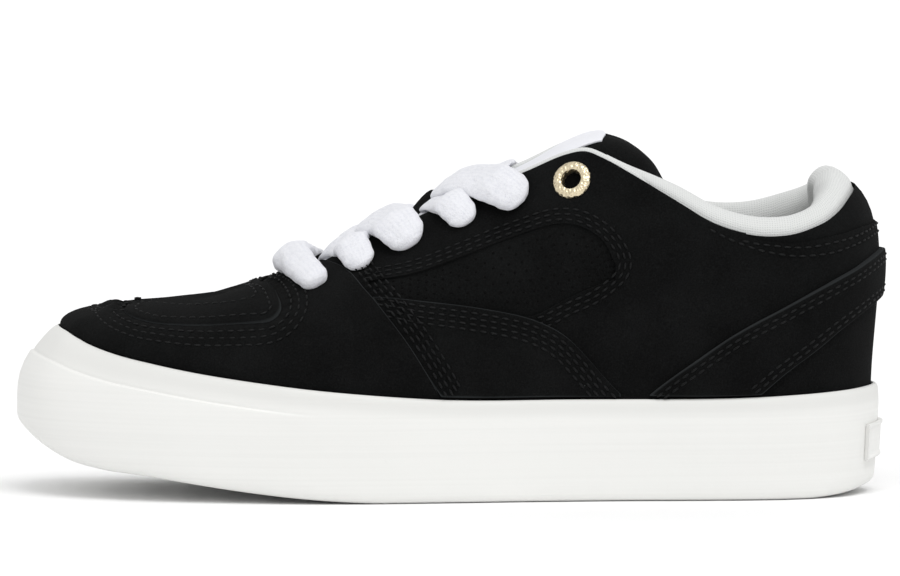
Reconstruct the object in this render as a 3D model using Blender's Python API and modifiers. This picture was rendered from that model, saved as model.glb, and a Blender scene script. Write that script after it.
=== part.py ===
"""Left skateboarding shoe, low cut, standing empty on its sole.

World frame in metres: -X toe, +X heel, -Y outer side, +Y inner side, +Z up.
The origin is on the ground under the middle of the heel.
"""
from collections import namedtuple
import math

import bmesh
import bpy
import numpy as np
from mathutils import Matrix, Vector

# Driving sizes
SHOE_LENGTH = 0.298
BALL_WIDTH = 0.106
HEEL_WIDTH = 0.080
HEEL_OVERHANG = 0.038       # from the middle of the heel back to the sole's end
SIDEWALL_HEIGHT = 0.036
TOE_RIM_HEIGHT = 0.057
TOE_SPRING = 0.024
HEEL_BEVEL = 0.004
TOE_LEAN = 0.0125           # how far the top of the toe's rubber leans back
SIDE_TUCK = 0.002           # how far the foot of the sidewall tucks in
CUP_LEAN = 0.6              # share of that lean at the cup's floor, inside
EDGE_ROUND = 0.003
RIM_WALL = 0.0019
BUMPER_STEP = 0.0007
OUTSOLE_THICKNESS = 0.015
TREAD_DEPTH = 0.002
TREAD_GROOVE = 0.003
TREAD_PITCH = 0.016
TREAD_MARGIN = 0.009        # plain border of the underside
CUTTER_REACH = 0.004        # how far cutters stand out of the skin
PUNCH_LENGTH = 0.016
INSOLE_THICKNESS = 0.005

HEEL_HEIGHT = 0.1069
INSTEP_HEIGHT = 0.1202
TOE_HEIGHT = 0.0642
COLLAR_WIDTH = 0.075
THROAT_WIDTH = 0.030
UPPER_WALL = 0.0026
VAMP_STEP = 0.0010
WINDOW_DEPTH = 0.0010
COLLAR_BAND_DEPTH = 0.0012
APRON_THICKNESS = 0.0010
SIDE_PANEL_THICKNESS = 0.0012
STRAP_THICKNESS = 0.0020
PAD_THICKNESS = 0.0095
PAD_RISE = 0.0055
TONGUE_THICKNESS = 0.0085
TONGUE_RISE = 0.0100        # how far the tongue stands up past the eyestay
LABEL_THICKNESS = 0.0008
LABEL_WIDTH = 0.030
HEEL_LABEL_WIDTH = 0.034
HEEL_LABEL_HEIGHT = 0.0115
HEEL_LABEL_THICKNESS = 0.0014
HEEL_LABEL_FOOT = 0.014     # height of its lower edge above the sole's foot
PUNCH_DIAMETER = 0.0050
EYELET_OUTER = 0.0132
EYELET_HOLE = 0.0069
EYELET_HEIGHT = 0.0012
LACE_WIDTH = 0.0165
LACE_THICKNESS = 0.0075
LACE_OVER = 0.55            # share of its thickness that a crossing clears the eyestays by
CLEARANCE = 0.0003          # gap kept between pieces that meet
CUP_GAP = 0.0005            # the same between the upper and the sole's cup
OVERLAY_GAP = 0.00065       # the same under an overlay, whose flats cut a bowed skin's corners

# Grid of the faceted shapes
AROUND_STEPS = 32           # from heel to toe, each side
UP_STEPS = 8
STEP_SHARE = 0.006          # share around over which the vamp's step rises
PANEL_STEPS = (14, 5)
TINY = 1e-9                 # keeps a division off zero

Plan = namedtuple("Plan", "along outer inner")
PLAN = [                    # outline of the sole, widths as shares of the width there
    Plan(0.020, 0.151, 0.255),
    Plan(0.050, 0.255, 0.340),
    Plan(0.100, 0.349, 0.406),
    Plan(0.150, 0.412, 0.439),
    Plan(0.200, 0.455, 0.458),
    Plan(0.270, 0.492, 0.474),
    Plan(0.330, 0.514, 0.480),
    Plan(0.400, 0.516, 0.455),
    Plan(0.500, 0.506, 0.405),
    Plan(0.600, 0.502, 0.387),
    Plan(0.700, 0.510, 0.414),
    Plan(0.800, 0.512, 0.460),
    Plan(0.880, 0.481, 0.456),
    Plan(0.940, 0.392, 0.380),
    Plan(0.975, 0.270, 0.265),
]
TREAD_ENDS = (0.10, 0.93)   # the grooves lie between these shares of the length
TREAD_WAIST = (0.50, 0.64)  # none here
TOE_TIP = 0.057             # share of the ball width that the tip lies inwards

Side = namedtuple("Side", "along waist toe spring bevel lean")
SOLE_SIDE = [               # rim and foot of the sidewall along the sole
    Side(0.00, 0.00, 1.00, 1.00, 0.0, 1.00),
    Side(0.03, 0.07, 0.93, 0.74, 0.0, 0.85),
    Side(0.06, 0.19, 0.81, 0.55, 0.0, 0.70),
    Side(0.10, 0.33, 0.67, 0.43, 0.0, 0.50),
    Side(0.15, 0.46, 0.54, 0.36, 0.0, 0.34),
    Side(0.20, 0.58, 0.42, 0.27, 0.0, 0.25),
    Side(0.27, 0.72, 0.28, 0.15, 0.0, 0.18),
    Side(0.33, 0.82, 0.18, 0.07, 0.0, 0.14),
    Side(0.42, 1.02, 0.01, 0.00, 0.0, 0.10),
    Side(0.50, 0.99, 0.00, 0.00, 0.0, 0.10),
    Side(0.65, 0.98, 0.00, 0.00, 0.0, 0.10),
    Side(0.84, 0.985, 0.00, 0.00, 0.0, 0.08),
    Side(0.92, 1.01, 0.00, 0.00, 0.0, 0.05),
    Side(0.97, 1.03, 0.00, 0.00, 0.45, 0.04),
    Side(1.00, 1.04, 0.00, 0.00, 1.0, 0.04),
]

Top = namedtuple("Top", "around along collar throat centre heel instep toe")
TOP_LINE = [                # collar, eyestay edge and ridge of the vamp, heel to toe
    Top(0.000, 0.973, 0.000, 0.000, 0.000, 1.000, 0.000, 0.000),
    Top(0.045, 0.967, 0.220, 0.000, 0.000, 0.976, 0.000, 0.000),
    Top(0.085, 0.950, 0.365, 0.000, -0.001, 0.926, 0.000, 0.000),
    Top(0.125, 0.927, 0.445, 0.000, -0.003, 0.889, 0.000, 0.000),
    Top(0.165, 0.890, 0.490, 0.000, -0.005, 0.860, 0.000, 0.000),
    Top(0.200, 0.850, 0.502, 0.000, -0.007, 0.863, 0.000, 0.000),
    Top(0.235, 0.807, 0.496, 0.000, -0.010, 0.750, 0.132, 0.000),
    Top(0.270, 0.765, 0.460, 0.030, -0.014, 0.450, 0.460, 0.000),
    Top(0.310, 0.720, 0.370, 0.150, -0.018, 0.150, 0.793, 0.000),
    Top(0.350, 0.678, 0.220, 0.400, -0.020, 0.000, 0.983, 0.000),
    Top(0.375, 0.657, 0.120, 0.560, -0.020, 0.000, 1.000, 0.000),
    Top(0.400, 0.634, 0.050, 0.650, -0.020, 0.000, 0.988, 0.000),
    Top(0.440, 0.590, 0.000, 0.660, -0.020, 0.000, 0.939, 0.000),
    Top(0.495, 0.520, 0.000, 0.570, -0.019, 0.000, 0.868, 0.000),
    Top(0.550, 0.455, 0.000, 0.517, -0.017, 0.000, 0.795, 0.000),
    Top(0.605, 0.390, 0.000, 0.467, -0.013, 0.000, 0.722, 0.000),
    Top(0.640, 0.350, 0.000, 0.400, -0.011, 0.000, 0.450, 0.404),
    Top(0.665, 0.330, 0.000, 0.250, -0.010, 0.000, 0.200, 0.822),
    Top(0.690, 0.322, 0.000, 0.000, -0.009, 0.000, 0.100, 0.995),
    Top(0.750, 0.285, 0.000, 0.000, -0.005, 0.000, 0.000, 1.123),
    Top(0.830, 0.235, 0.000, 0.000, 0.005, 0.000, 0.000, 1.043),
    Top(0.920, 0.185, 0.000, 0.000, 0.019, 0.000, 0.000, 1.012),
    Top(1.000, 0.140, 0.000, 0.000, 0.033, 0.000, 0.000, 1.000),
]
THROAT_END = 0.690          # around: from here to the toe both sides meet on the ridge

Wall = namedtuple("Wall", "around rise swell reach dip")
WALL_SHAPE = [              # how the wall leaves the rim and arrives at the top line
    Wall(0.000, 0.45, 2.0, 0.26, 43.0),
    Wall(0.085, 0.42, 2.0, 0.22, 60.0),
    Wall(0.165, 0.38, 3.0, 0.20, 75.0),
    Wall(0.250, 0.38, 3.0, 0.20, 75.0),
    Wall(0.330, 0.40, 3.0, 0.25, 65.0),
    Wall(0.375, 0.42, 3.0, 0.28, 55.0),
    Wall(0.440, 0.44, 3.0, 0.32, 47.0),
    Wall(0.495, 0.45, 2.0, 0.35, 42.0),
    Wall(0.605, 0.42, 3.0, 0.38, 34.0),
    Wall(0.660, 0.36, 4.0, 0.42, 15.0),
    Wall(0.700, 0.30, 4.0, 0.43, 2.0),
    Wall(0.750, 0.25, 3.0, 0.43, 0.0),
    Wall(0.870, 0.22, 2.0, 0.42, 0.0),
    Wall(1.000, 0.20, 0.0, 0.40, 0.0),
]

# Panel edges on the wall: around from heel to toe, up from rim to top line
Edge = namedtuple("Edge", "around up")
VAMP_EDGE = [Edge(0.495, 0.00), Edge(0.525, 0.18), Edge(0.552, 0.35), Edge(0.578, 0.55),
             Edge(0.600, 0.75), Edge(0.635, 1.00)]
SIDE_PANEL_TOP = [Edge(0.563, 0.50), Edge(0.521, 0.42), Edge(0.469, 0.35), Edge(0.415, 0.28),
                  Edge(0.367, 0.19), Edge(0.318, 0.02)]
SIDE_PANEL_LOW = [Edge(0.487, 0.01), Edge(0.460, 0.01), Edge(0.425, 0.01), Edge(0.390, 0.01),
                  Edge(0.355, 0.01), Edge(0.318, 0.01)]
SIDE_PANEL_FRONT = [Edge(0.563, 0.50), Edge(0.545, 0.34), Edge(0.517, 0.17),
                    Edge(0.487, 0.01)]
STRAP_TOP = [Edge(0.290, 0.015), Edge(0.250, 0.160), Edge(0.205, 0.345), Edge(0.174, 0.445),
             Edge(0.140, 0.520), Edge(0.099, 0.565), Edge(0.050, 0.572), Edge(0.000, 0.570)]
STRAP_LOW = [Edge(0.178, 0.015), Edge(0.151, 0.128), Edge(0.122, 0.215), Edge(0.095, 0.285),
             Edge(0.070, 0.322), Edge(0.045, 0.338), Edge(0.020, 0.345), Edge(0.000, 0.348)]
WINDOW_TOP = [Edge(0.580, 0.640), Edge(0.535, 0.610), Edge(0.495, 0.632),
              Edge(0.455, 0.665), Edge(0.415, 0.668), Edge(0.375, 0.637),
              Edge(0.345, 0.600), Edge(0.329, 0.515)]
WINDOW_LOW = [Edge(0.572, 0.535), Edge(0.530, 0.440), Edge(0.485, 0.370),
              Edge(0.440, 0.312), Edge(0.412, 0.287), Edge(0.381, 0.337),
              Edge(0.352, 0.400), Edge(0.329, 0.455)]
BAND_LOW = [Edge(0.205, 0.970), Edge(0.165, 0.917), Edge(0.135, 0.883), Edge(0.099, 0.840),
            Edge(0.070, 0.795), Edge(0.034, 0.743), Edge(0.000, 0.715)]
APRON_SIDE = [Edge(0.690, 0.43), Edge(0.735, 0.445), Edge(0.785, 0.465), Edge(0.835, 0.485),
              Edge(0.890, 0.57), Edge(0.945, 0.75), Edge(1.000, 0.82)]
APRON_RIDGE = [Edge(0.745, 1.0), Edge(0.780, 1.0), Edge(0.820, 1.0), Edge(0.860, 1.0),
               Edge(0.900, 1.0), Edge(0.950, 1.0), Edge(1.000, 1.0)]
PAD_REACH = 0.319           # the collar pad ends this far round each side
EYELETS = [Edge(0.640, 0.812), Edge(0.595, 0.850), Edge(0.551, 0.875), Edge(0.500, 0.890),
           Edge(0.454, 0.888), Edge(0.391, 0.853)]


# Smooth curves through the tables

def eased(places, values, at):
    """Cubic through the values, with slopes from their neighbours."""
    places = np.asarray(places, float)
    values = np.asarray(values, float)
    slopes = np.gradient(values, places)
    at = np.clip(at, places[0], places[-1])
    left = np.clip(np.searchsorted(places, at, side="right") - 1, 0, len(places) - 2)
    span = places[left + 1] - places[left]
    t = (at - places[left]) / span
    start, end = values[left], values[left + 1]
    start_pull, end_pull = slopes[left] * span, slopes[left + 1] * span
    return (start * (2 * t**3 - 3 * t**2 + 1) + start_pull * (t**3 - 2 * t**2 + t)
            + end * (3 * t**2 - 2 * t**3) + end_pull * (t**3 - t**2))


def column(rows, name, at, mirrored=0):
    """A table's column at a place; mirrored +1 or -1 carries it evenly or oddly past row 0."""
    places = [row[0] for row in rows]
    values = [getattr(row, name) for row in rows]
    if mirrored:
        places = [-place for place in places[2:0:-1]] + places
        values = [mirrored * value for value in values[2:0:-1]] + values
    return eased(places, values, at)


def ramp(start, end, at):
    """Rises smoothly from 0 at start to 1 at end."""
    t = np.clip((at - start) / (end - start), 0.0, 1.0)
    return t * t * (3.0 - 2.0 * t)


def unit(vectors):
    return vectors / np.linalg.norm(vectors, axis=-1, keepdims=True)


# Plan of the sole

def x_at(along):
    """World X of a share of the length counted from the toe."""
    return HEEL_OVERHANG - (1.0 - along) * SHOE_LENGTH


def along_at(x):
    return 1.0 - (HEEL_OVERHANG - x) / SHOE_LENGTH


def width_at(along):
    return BALL_WIDTH + (HEEL_WIDTH - BALL_WIDTH) * ramp(0.35, 0.80, along)


def outline_side(side):
    """Points from the heel's end round one side to the toe's tip, and their arc shares."""
    rows = PLAN[::-1]
    name = "outer" if side > 0 else "inner"
    x = [x_at(1.0)] + [x_at(row.along) for row in rows] + [x_at(0.0)]
    y = [0.0] + [-side * getattr(row, name) * width_at(row.along) for row in rows]
    y.append(TOE_TIP * BALL_WIDTH)
    tip = y[-1]
    x = x[2:0:-1] + x + x[-2:-4:-1]
    y = [-y[2], -y[1]] + y + [2 * tip - y[-2], 2 * tip - y[-3]]
    knots = np.concatenate([[0.0], np.cumsum(np.hypot(np.diff(x), np.diff(y)) ** 0.5)])
    places = np.linspace(knots[2], knots[-3], 900)
    points = np.stack([eased(knots, x, places), eased(knots, y, places)], axis=1)
    lengths = np.concatenate([[0.0], np.cumsum(np.hypot(*np.diff(points, axis=0).T))])
    return lengths / lengths[-1], points


def outline_table():
    """The closed outline against the signed share around: 0 heel, +1 and -1 toe's tip."""
    outer_share, outer = outline_side(1)
    inner_share, inner = outline_side(-1)
    share = np.concatenate([-inner_share[::-1], outer_share[1:]])
    points = np.concatenate([inner[::-1], outer[1:]])
    steps = np.gradient(points, axis=0)
    steps[0] = steps[-1] = (0.0, 1.0)
    normals = unit(np.stack([-steps[:, 1], steps[:, 0]], axis=1))
    return share, points, normals


OUTLINE = outline_table()


def outline(around):
    """Plan point and outward plan normal."""
    share, points, normals = OUTLINE
    point = np.stack([np.interp(around, share, points[:, k]) for k in (0, 1)], axis=-1)
    normal = np.stack([np.interp(around, share, normals[:, k]) for k in (0, 1)], axis=-1)
    return point, unit(normal)


def rim_height(along):
    return (column(SOLE_SIDE, "waist", along) * SIDEWALL_HEIGHT
            + column(SOLE_SIDE, "toe", along) * TOE_RIM_HEIGHT)


def foot_height(along):
    """Height of the sole's underside, flat between the toe spring and the heel's bevel."""
    return (np.maximum(column(SOLE_SIDE, "spring", along), 0.0) * TOE_SPRING
            + np.maximum(column(SOLE_SIDE, "bevel", along), 0.0) * HEEL_BEVEL)


def floor_height(along):
    """Height of the cup's floor, inside the sole."""
    return foot_height(np.clip(along, 0.0, 0.9)) + OUTSOLE_THICKNESS


def sole_point(around, share, inset):
    """Point at a share of the sidewall's height, moved in from the outline."""
    plan, normal = outline(around)
    along = along_at(plan[..., 0])
    lean = TOE_LEAN * column(SOLE_SIDE, "lean", along)
    curl = lean * np.clip((share - 0.2) / 0.8, 0.0, 1.0) ** 2.7
    tuck = SIDE_TUCK * np.clip(1.0 - share / 0.8, 0.0, 1.0) * (1.0 - lean / TOE_LEAN)
    plan = plan - normal * (inset + curl + tuck)[..., None]
    bottom = foot_height(along_at(plan[..., 0]))
    height = bottom + share * (rim_height(along) - bottom)
    return np.concatenate([plan, height[..., None]], axis=-1)


# Skin of the upper: a net of points and normals, read between its knots

def top_point(around):
    """Point of the top line; the inner side mirrors the outer about the centre line."""
    reach = np.abs(around)
    half = (column(TOP_LINE, "collar", reach, -1) * COLLAR_WIDTH
            + column(TOP_LINE, "throat", reach, -1) * THROAT_WIDTH)
    half = np.where(reach >= THROAT_END, 0.0, half)
    y = column(TOP_LINE, "centre", reach, 1) * BALL_WIDTH - np.sign(around) * half
    height = (column(TOP_LINE, "heel", reach, 1) * HEEL_HEIGHT
              + column(TOP_LINE, "instep", reach, 1) * INSTEP_HEIGHT
              + column(TOP_LINE, "toe", reach, 1) * TOE_HEIGHT)
    return np.stack([x_at(column(TOP_LINE, "along", reach, 1)), y, height], axis=-1)


def wall_point(around, up):
    """Outer face of the upper: up is 0 at the rim, 1 at the top line, -1 on the cup's floor."""
    reach = np.abs(around)
    plan, normal = outline(around)
    along = along_at(plan[..., 0])
    lean = TOE_LEAN * column(SOLE_SIDE, "lean", along)
    inset = RIM_WALL + CUP_GAP + lean
    start_plan = plan - normal * inset[..., None]
    start = np.concatenate([start_plan, rim_height(along)[..., None]], axis=-1)
    end = top_point(around)
    span = np.linalg.norm(end - start, axis=-1)
    swell = np.radians(column(WALL_SHAPE, "swell", reach))
    rise = column(WALL_SHAPE, "rise", reach) * span
    leave = np.stack([normal[..., 0] * np.sin(swell), normal[..., 1] * np.sin(swell),
                      np.cos(swell)], axis=-1)
    toward = unit((start - end)[..., :2])
    fan = ramp(0.45, 0.62, reach)[..., None]
    flat = unit(normal * (1.0 - fan) + toward * fan)
    ahead = top_point(np.clip(reach + 0.01, 0.0, 1.0))
    behind = top_point(np.clip(reach - 0.01, 0.0, 1.0))
    slope = (ahead - behind)[..., 2] / ((ahead - behind)[..., 0] - TINY)
    ridge = ramp(0.66, THROAT_END, reach) * slope * flat[..., 0]
    dip = np.radians(column(WALL_SHAPE, "dip", reach))
    arrive = np.concatenate([flat * np.cos(dip)[..., None], (ridge - np.sin(dip))[..., None]],
                            axis=-1)
    reach_length = column(WALL_SHAPE, "reach", reach) * span
    first = start + leave * rise[..., None]
    second = end + arrive * reach_length[..., None]
    t = np.clip(up, 0.0, 1.0)[..., None]
    bow = (start * (1 - t)**3 + 3 * first * t * (1 - t)**2 + 3 * second * t * t * (1 - t)
           + end * t**3)
    drop = np.clip(-up, 0.0, 1.0)[..., None]
    foot_plan = plan - normal * (RIM_WALL + CUP_GAP + CUP_LEAN * lean)[..., None]
    low = floor_height(along_at(foot_plan[..., 0])) + CLEARANCE
    foot = np.concatenate([foot_plan, low[..., None]], axis=-1)
    return bow + (foot - start) * drop


def wrapped(around):
    return (around + 1.0) % 2.0 - 1.0


class Skin:
    """Net over the upper's outer face, for reading points at any offset from it."""

    def __init__(self, around_knots=321, up_knots=61):
        self.around = np.linspace(-1.0, 1.0, around_knots)
        self.up = np.concatenate([[-1.0, -0.5], np.linspace(0.0, 1.0, up_knots)])
        grid_around, grid_up = np.meshgrid(self.around, self.up, indexing="ij")
        self.points = wall_point(grid_around, grid_up)
        self.normals = self.knot_normals()

    def knot_normals(self):
        """Mean of the face normals round each knot, joined across the toe and the ridge."""
        points = self.points
        across = points[1:, 1:] - points[:-1, :-1]
        back = points[:-1, 1:] - points[1:, :-1]
        faces = np.cross(back, across)
        total = np.zeros_like(points)
        total[:-1, :-1] += faces
        total[1:, :-1] += faces
        total[:-1, 1:] += faces
        total[1:, 1:] += faces
        total[0] += total[-1]
        total[-1] = total[0]
        on_ridge = np.abs(self.around) >= THROAT_END
        top = total[:, -1]
        both = top + top[::-1]
        total[:, -1] = np.where(on_ridge[:, None], both, top)
        return unit(total)

    def read(self, net, around, up):
        over = up > 1.0
        around = np.where(over, -around, around)
        up = np.where(over, 2.0 - up, up)
        i = np.interp(wrapped(around), self.around, np.arange(len(self.around)))
        j = np.interp(up, self.up, np.arange(len(self.up)))
        i0 = np.clip(i.astype(int), 0, len(self.around) - 2)
        j0 = np.clip(j.astype(int), 0, len(self.up) - 2)
        fi, fj = (i - i0)[..., None], (j - j0)[..., None]
        return ((net[i0, j0] * (1 - fi) + net[i0 + 1, j0] * fi) * (1 - fj)
                + (net[i0, j0 + 1] * (1 - fi) + net[i0 + 1, j0 + 1] * fi) * fj)

    def at(self, around, up, offset=0.0):
        around = np.asarray(around, float)
        up = np.asarray(up, float)
        normal = unit(self.read(self.normals, around, up))
        offset = np.broadcast_to(offset, around.shape)[..., None]
        return self.read(self.points, around, up) + normal * offset

    def normal(self, around, up):
        return unit(self.read(self.normals, np.asarray(around, float), np.asarray(up, float)))


SKIN = Skin()


def along_edge(edge, share):
    """Around and up at a share of the way along an edge's rows."""
    rows = np.linspace(0.0, 1.0, len(edge))
    return eased(rows, [row.around for row in edge], share), \
        eased(rows, [row.up for row in edge], share)


# Blender helpers

def clear_scene():
    for item in list(bpy.data.objects):
        bpy.data.objects.remove(item, do_unlink=True)


def collection(name):
    made = bpy.data.collections.get(name) or bpy.data.collections.new(name)
    if name not in bpy.context.scene.collection.children:
        bpy.context.scene.collection.children.link(made)
    return made


def material(name, colour, roughness, metallic=0.0):
    made = bpy.data.materials.new(name)
    made.use_nodes = True
    shader = made.node_tree.nodes["Principled BSDF"]
    shader.inputs["Base Color"].default_value = (*colour, 1.0)
    shader.inputs["Roughness"].default_value = roughness
    shader.inputs["Metallic"].default_value = metallic
    return made


def add_object(name, mesh, group, finish=None):
    made = bpy.data.objects.new(name, mesh)
    group.objects.link(made)
    if finish:
        mesh.materials.append(finish)
        mesh.shade_smooth()
        mesh.set_sharp_from_angle(angle=math.radians(40))
    else:
        made.hide_render = True
        made.display_type = "WIRE"
    return made


def net_mesh(name, points, closed=False, capped=False, whole=True):
    """Mesh over a grid of points; closed joins the last column to the first."""
    rows, columns = points.shape[:2]
    shape = bmesh.new()
    corners = [[shape.verts.new(point) for point in row] for row in points]
    for i in range(rows - 1):
        for j in range(columns if closed else columns - 1):
            k = (j + 1) % columns
            shape.faces.new((corners[i][j], corners[i][k], corners[i + 1][k],
                             corners[i + 1][j]))
    if capped:
        shape.faces.new(corners[0][::-1])
        shape.faces.new(corners[-1])
    return finished(name, shape, whole)


def finished(name, shape, closed=True):
    bmesh.ops.remove_doubles(shape, verts=shape.verts, dist=1e-6)
    if closed:
        bmesh.ops.recalc_face_normals(shape, faces=shape.faces)
        if shape.calc_volume(signed=True) < 0:
            bmesh.ops.reverse_faces(shape, faces=shape.faces)
    mesh = bpy.data.meshes.new(name)
    shape.to_mesh(mesh)
    shape.free()
    return mesh


def solidify(item, thickness, outward):
    shell = item.modifiers.new("Thickness", "SOLIDIFY")
    shell.thickness = thickness
    shell.offset = 1.0 if outward else -1.0
    return shell


def cut(item, cutter):
    tool = item.modifiers.new("Cut " + cutter.name, "BOOLEAN")
    tool.operation = "DIFFERENCE"
    tool.object = cutter
    return tool


# Sole

Ring = namedtuple("Ring", "share inset stepped")
SOLE_RINGS = [              # share of the sidewall's height, inset, above the toe bumper or not
    Ring(0.00, EDGE_ROUND, 0),
    Ring(0.025, 0.35 * EDGE_ROUND, 0),
    Ring(0.10, 0.0, 0),
    Ring(0.40, 0.0, 0),
    Ring(0.755, 0.0, 0),
    Ring(0.785, 0.0, 1),
    Ring(0.88, 0.0, 1),
    Ring(0.97, 0.0, 1),
    Ring(1.00, 0.25 * EDGE_ROUND, 1),
]


def round_ring():
    """Signed shares around for a closed ring, closer together at heel and toe."""
    side = np.linspace(0.0, 1.0, AROUND_STEPS + 1)
    return np.concatenate([side, -side[-2:0:-1]])


def ladder(shape, ring, height, rungs=4):
    """Fills a ring of corners with rungs across the sole, each at its own height."""
    half = len(ring) // 2
    last = [ring[0]]
    for i in range(1, half + 1):
        if i == half:
            row = [ring[half]]
        else:
            outer, inner = ring[i], ring[-i]
            row = [outer]
            for j in range(1, rungs):
                spot = outer.co.lerp(inner.co, j / rungs)
                spot.z = float(height(np.array(along_at(spot.x))))
                row.append(shape.verts.new(spot))
            row.append(inner)
        if len(last) == 1:
            for j in range(len(row) - 1):
                shape.faces.new((last[0], row[j], row[j + 1]))
        elif len(row) == 1:
            for j in range(len(last) - 1):
                shape.faces.new((row[0], last[j + 1], last[j]))
        else:
            for j in range(rungs):
                shape.faces.new((last[j], row[j], row[j + 1], last[j + 1]))
        last = row


def join_rings(shape, lower, upper):
    count = len(lower)
    for i in range(count):
        k = (i + 1) % count
        shape.faces.new((lower[i], lower[k], upper[k], upper[i]))


def cup_wall(around, low):
    """Inner face of the sole's cup: at the rim, or down on its floor."""
    plan, normal = outline(around)
    along = along_at(plan[..., 0])
    lean = TOE_LEAN * column(SOLE_SIDE, "lean", along)
    inset = RIM_WALL + (CUP_LEAN * lean if low else lean)
    plan = plan - normal * inset[..., None]
    height = floor_height(along_at(plan[..., 0])) if low else rim_height(along)
    return np.concatenate([plan, height[..., None]], axis=-1)


def make_sole(group, guides, finish):
    around = round_ring()
    shape = bmesh.new()
    fade = ramp(0.34, 0.26, along_at(outline(around)[0][..., 0]))
    rings = []
    for ring in SOLE_RINGS:
        inset = ring.inset + ring.stepped * BUMPER_STEP * fade
        rings.append([shape.verts.new(point)
                      for point in sole_point(around, np.full_like(around, ring.share), inset)])
    rings.append([shape.verts.new(point) for point in cup_wall(around, False)])
    rings.append([shape.verts.new(point) for point in cup_wall(around, True)])
    for lower, upper in zip(rings, rings[1:]):
        join_rings(shape, lower, upper)
    ladder(shape, rings[0], foot_height)
    ladder(shape, rings[-1], floor_height)
    sole = add_object("sole", finished("sole", shape), group, finish)
    cut(sole, tread_cutter(guides))
    return sole


def tread_cutter(guides):
    """Grooves across the underside, with a lug under the middle of the heel."""
    shape = bmesh.new()
    first = math.ceil(x_at(TREAD_ENDS[0]) / TREAD_PITCH)
    last = math.floor(x_at(TREAD_ENDS[1]) / TREAD_PITCH)
    share, points, _ = OUTLINE
    for number in range(first, last):
        x = (number + 0.5) * TREAD_PITCH
        if TREAD_WAIST[0] < along_at(x) < TREAD_WAIST[1]:
            continue
        outer = points[share >= 0]
        inner = points[share <= 0][::-1]
        y_outer = np.interp(-x, -outer[:, 0], outer[:, 1]) + TREAD_MARGIN
        y_inner = np.interp(-x, -inner[:, 0], inner[:, 1]) - TREAD_MARGIN
        height = 2 * TREAD_DEPTH
        size = Matrix.Diagonal((TREAD_GROOVE, y_inner - y_outer, height, 1.0))
        foot = float(foot_height(np.array(along_at(x))))
        spot = Vector((x, (y_inner + y_outer) / 2, foot + TREAD_DEPTH - height / 2))
        bmesh.ops.create_cube(shape, size=1.0, matrix=Matrix.Translation(spot) @ size)
    mesh = bpy.data.meshes.new("tread_cutter")
    shape.to_mesh(mesh)
    shape.free()
    return add_object("tread_cutter", mesh, guides)


# Upper and what is cut from its skin

def make_upper(group, guides, finish):
    side = np.linspace(0.0, 1.0, AROUND_STEPS + 1)
    around = np.concatenate([side, -side[-2:0:-1]])
    up = np.concatenate([[-1.0], np.linspace(0.0, 1.0, UP_STEPS + 1)])
    grid_around, grid_up = np.meshgrid(around, up, indexing="ij")
    edge_around = eased([row.up for row in VAMP_EDGE], [row.around for row in VAMP_EDGE], up)
    nearest = np.abs(side[:, None] - edge_around[None, :]).argmin(axis=0)
    for level, column_index in enumerate(nearest):
        for sign, index in ((1, column_index), (-1, -column_index)):
            grid_around[index, level] = sign * edge_around[level]
            grid_around[index + sign, level] = sign * (edge_around[level] + STEP_SHARE)
    step = VAMP_STEP * (np.abs(grid_around) > edge_around[None, :] + STEP_SHARE / 2)
    points = SKIN.at(grid_around, grid_up, step * (grid_up > 0.02))
    mesh = net_mesh("upper", np.concatenate([points, points[:1]]), whole=False)
    upper = add_object("upper", mesh, group, finish)
    solidify(upper, UPPER_WALL, False)
    for sign, side_name in ((1, "outer"), (-1, "inner")):
        cut(upper, patch("window_cutter_" + side_name, WINDOW_TOP, WINDOW_LOW, sign,
                         -WINDOW_DEPTH, CUTTER_REACH, PANEL_STEPS, guides))
    cut(upper, band_cutter(guides))
    for number, place in enumerate(EYELETS):
        width = EYELET_HOLE if number == len(EYELETS) - 1 else PUNCH_DIAMETER
        for sign, side_name in ((1, "outer"), (-1, "inner")):
            cut(upper, peg(f"punch_{side_name}_{number}", place, sign, width, guides))
    return upper


def patch_places(high, low, steps, front=None):
    """Around and up over a panel between two edges; front bends its first end."""
    share = np.linspace(0.0, 1.0, steps[0] + 1)
    across = np.linspace(0.0, 1.0, steps[1] + 1)
    places = []
    for part, (top, bottom) in enumerate(zip(along_edge(high, share), along_edge(low, share))):
        place = top[:, None] + (bottom - top)[:, None] * across
        if front:
            bent = along_edge(front, across)[part]
            straight = bent[0] + (bent[-1] - bent[0]) * across
            place = place + (1.0 - share)[:, None] * (bent - straight)
        places.append(place)
    return places


def patch(name, high, low, sign, offset, thickness, steps, group, finish=None, front=None):
    """A panel cut from between two offsets of the skin."""
    around, up = patch_places(high, low, steps, front)
    mesh = slab_mesh(name, SKIN.at(sign * around, up, offset),
                     SKIN.at(sign * around, up, offset + thickness))
    return add_object(name, mesh, group, finish)


def slab_mesh(name, inside, outside):
    """Closed slab between two grids of points."""
    shape = bmesh.new()
    rows, columns = inside.shape[:2]
    under = [[shape.verts.new(point) for point in row] for row in inside]
    over = [[shape.verts.new(point) for point in row] for row in outside]
    for i in range(rows - 1):
        for j in range(columns - 1):
            shape.faces.new((over[i][j], over[i][j + 1], over[i + 1][j + 1], over[i + 1][j]))
            shape.faces.new((under[i][j], under[i + 1][j], under[i + 1][j + 1],
                             under[i][j + 1]))
    border = ([(i, 0) for i in range(rows - 1)] + [(rows - 1, j) for j in range(columns - 1)]
              + [(i, columns - 1) for i in range(rows - 1, 0, -1)]
              + [(0, j) for j in range(columns - 1, 0, -1)])
    for (i, j), (k, m) in zip(border, border[1:] + border[:1]):
        shape.faces.new((over[i][j], over[k][m], under[k][m], under[i][j]))
    return finished(name, shape)


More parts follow.
